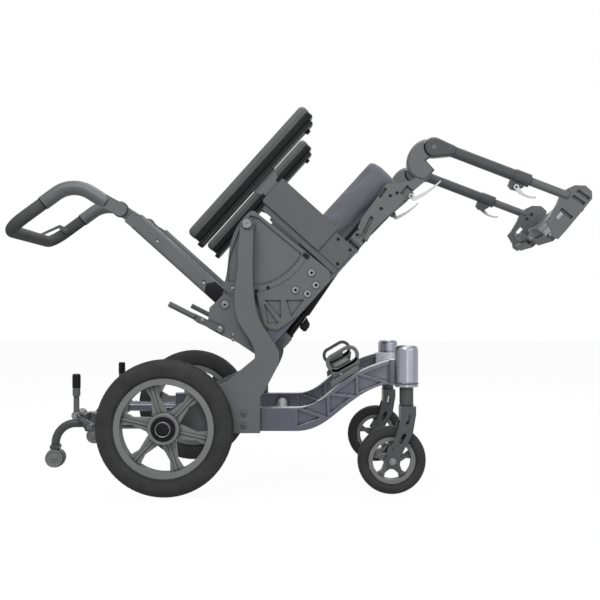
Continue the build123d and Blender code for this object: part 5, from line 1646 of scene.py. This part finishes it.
# ---------------------------------------------------------------- studio
@dataclass(frozen=True)
class Lamp:
    """An area lamp: where it stands in metres, its width and height, and its watts."""

    name: str
    spot: Point
    size: Pair
    power: float

    def build(self, aim: Point) -> None:
        """Sets the lamp up.

        Args:
            aim: The point that it faces.
        """
        data = bpy.data.lights.new(self.name, "AREA")
        data.shape = "RECTANGLE"
        data.size, data.size_y = self.size
        data.energy = self.power
        lamp = bpy.data.objects.new(self.name, data)
        bpy.context.scene.collection.objects.link(lamp)
        lamp.location = self.spot
        lamp.rotation_euler = (Vector(aim) - Vector(self.spot)).to_track_quat("-Z", "Y").to_euler()


@dataclass
class Studio:
    """White floor and backdrop, soft lamps and the photograph's camera."""

    camera_back: float = 2.387
    camera_high: float = 0.397
    camera_along: float = 0.02203
    sensor: float = 36.0
    image: float = 600.0
    focal_px: float = 966.5
    axis_px: Pair = (305.0, 315.0)
    floor_size: float = 12.0
    floor_grey: float = 0.40
    floor_white: float = 0.95
    floor_glow: float = 0.95
    sky: Colour = (0.95, 0.97, 1.0)
    sky_strength: float = 0.42
    aim: Point = (0.0, 0.0, 0.45)
    lamps: Sequence[Lamp] = (
        Lamp("key", (-0.7, -2.3, 2.5), (1.5, 1.5), 60.0),
        Lamp("strip", (0.52, -2.8, 0.5), (0.32, 1.0), 6.0),
        Lamp("fill", (1.9, -2.2, 1.1), (1.6, 1.6), 16.0),
        Lamp("top", (0.2, 0.3, 3.0), (2.0, 2.0), 50.0),
        Lamp("back", (0.4, 2.6, 1.8), (2.0, 2.0), 22.0),
    )

    def floor(self) -> None:
        """Lays the floor: white to the camera with a faint shadow, greyer to the light it throws back."""
        bm = bmesh.new()
        bmesh.ops.create_grid(bm, x_segments=1, y_segments=1, size=self.floor_size)
        mesh = bpy.data.meshes.new("floor")
        bm.to_mesh(mesh)
        bm.free()
        floor = bpy.data.objects.new("floor", mesh)
        bpy.context.scene.collection.objects.link(floor)
        bench = Bench("floor_white")
        seen = bench.ray("Camera", "Glossy")
        bench.paint(bench.greys(seen, (0.0, self.floor_grey), (1.0, self.floor_white)))
        bench.set(Roughness=0.9)
        glow, mix = bench.add("ShaderNodeEmission"), bench.add("ShaderNodeMixShader")
        bench.feed(bench.math("MULTIPLY", seen, self.floor_glow), mix, "Fac")
        bench.feed((bench.shader, "BSDF"), mix, 1)
        bench.feed((glow, "Emission"), mix, 2)
        bench.feed((mix, 0), bench.output, "Surface")
        mesh.materials.append(bench.material)
        floor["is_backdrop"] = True

    def world(self) -> None:
        """Sets a soft even sky that the camera, glass and reflections see as white."""
        world = bpy.data.worlds.new("studio")
        bpy.context.scene.world = world
        world.use_nodes = True
        tree = Tree(world.node_tree)
        mix = tree.add("ShaderNodeMixShader")
        tree.feed(tree.ray("Camera", "Transmission", "Glossy"), mix, "Fac")
        skies = ((self.sky, self.sky_strength), ((1.0, 1.0, 1.0), 1.0))
        for index, (colour, strength) in enumerate(skies, 1):
            light = tree.add("ShaderNodeBackground")
            tree.feed(colour, light, "Color")
            tree.feed(strength, light, "Strength")
            tree.feed((light, 0), mix, index)
        tree.feed((mix, 0), tree.add("ShaderNodeOutputWorld"), "Surface")

    def camera(self) -> None:
        """Sets the camera where the photograph was taken from, looking square across the chair."""
        data = bpy.data.cameras.new("camera")
        data.sensor_width = self.sensor
        data.lens = self.sensor * self.focal_px / self.image
        data.shift_x = (self.image / 2 - self.axis_px[0]) / self.image
        data.shift_y = (self.axis_px[1] - self.image / 2) / self.image
        camera = bpy.data.objects.new("camera", data)
        bpy.context.scene.collection.objects.link(camera)
        camera.location = (self.camera_along, -self.camera_back, self.camera_high)
        camera.rotation_euler = (math.radians(90.0), 0.0, 0.0)
        bpy.context.scene.camera = camera

    def build(self) -> None:
        """Builds the whole studio."""
        bpy.context.scene.view_settings.view_transform = "Standard"
        self.floor()
        self.world()
        for lamp in self.lamps:
            lamp.build(self.aim)
        self.camera()


def main() -> None:
    """Builds the scene in order."""
    logging.basicConfig(level=logging.INFO, format="%(name)s %(message)s")
    frame = Frame()
    shop = Shop(frame, Finishes())
    Studio().build()
    shop.dress_nodes()
    for group in (Wheels, BaseGear, SeatGear, Upholstery, Handle, LegGear):
        group(shop).build()


if __name__ == "__main__":
    main()
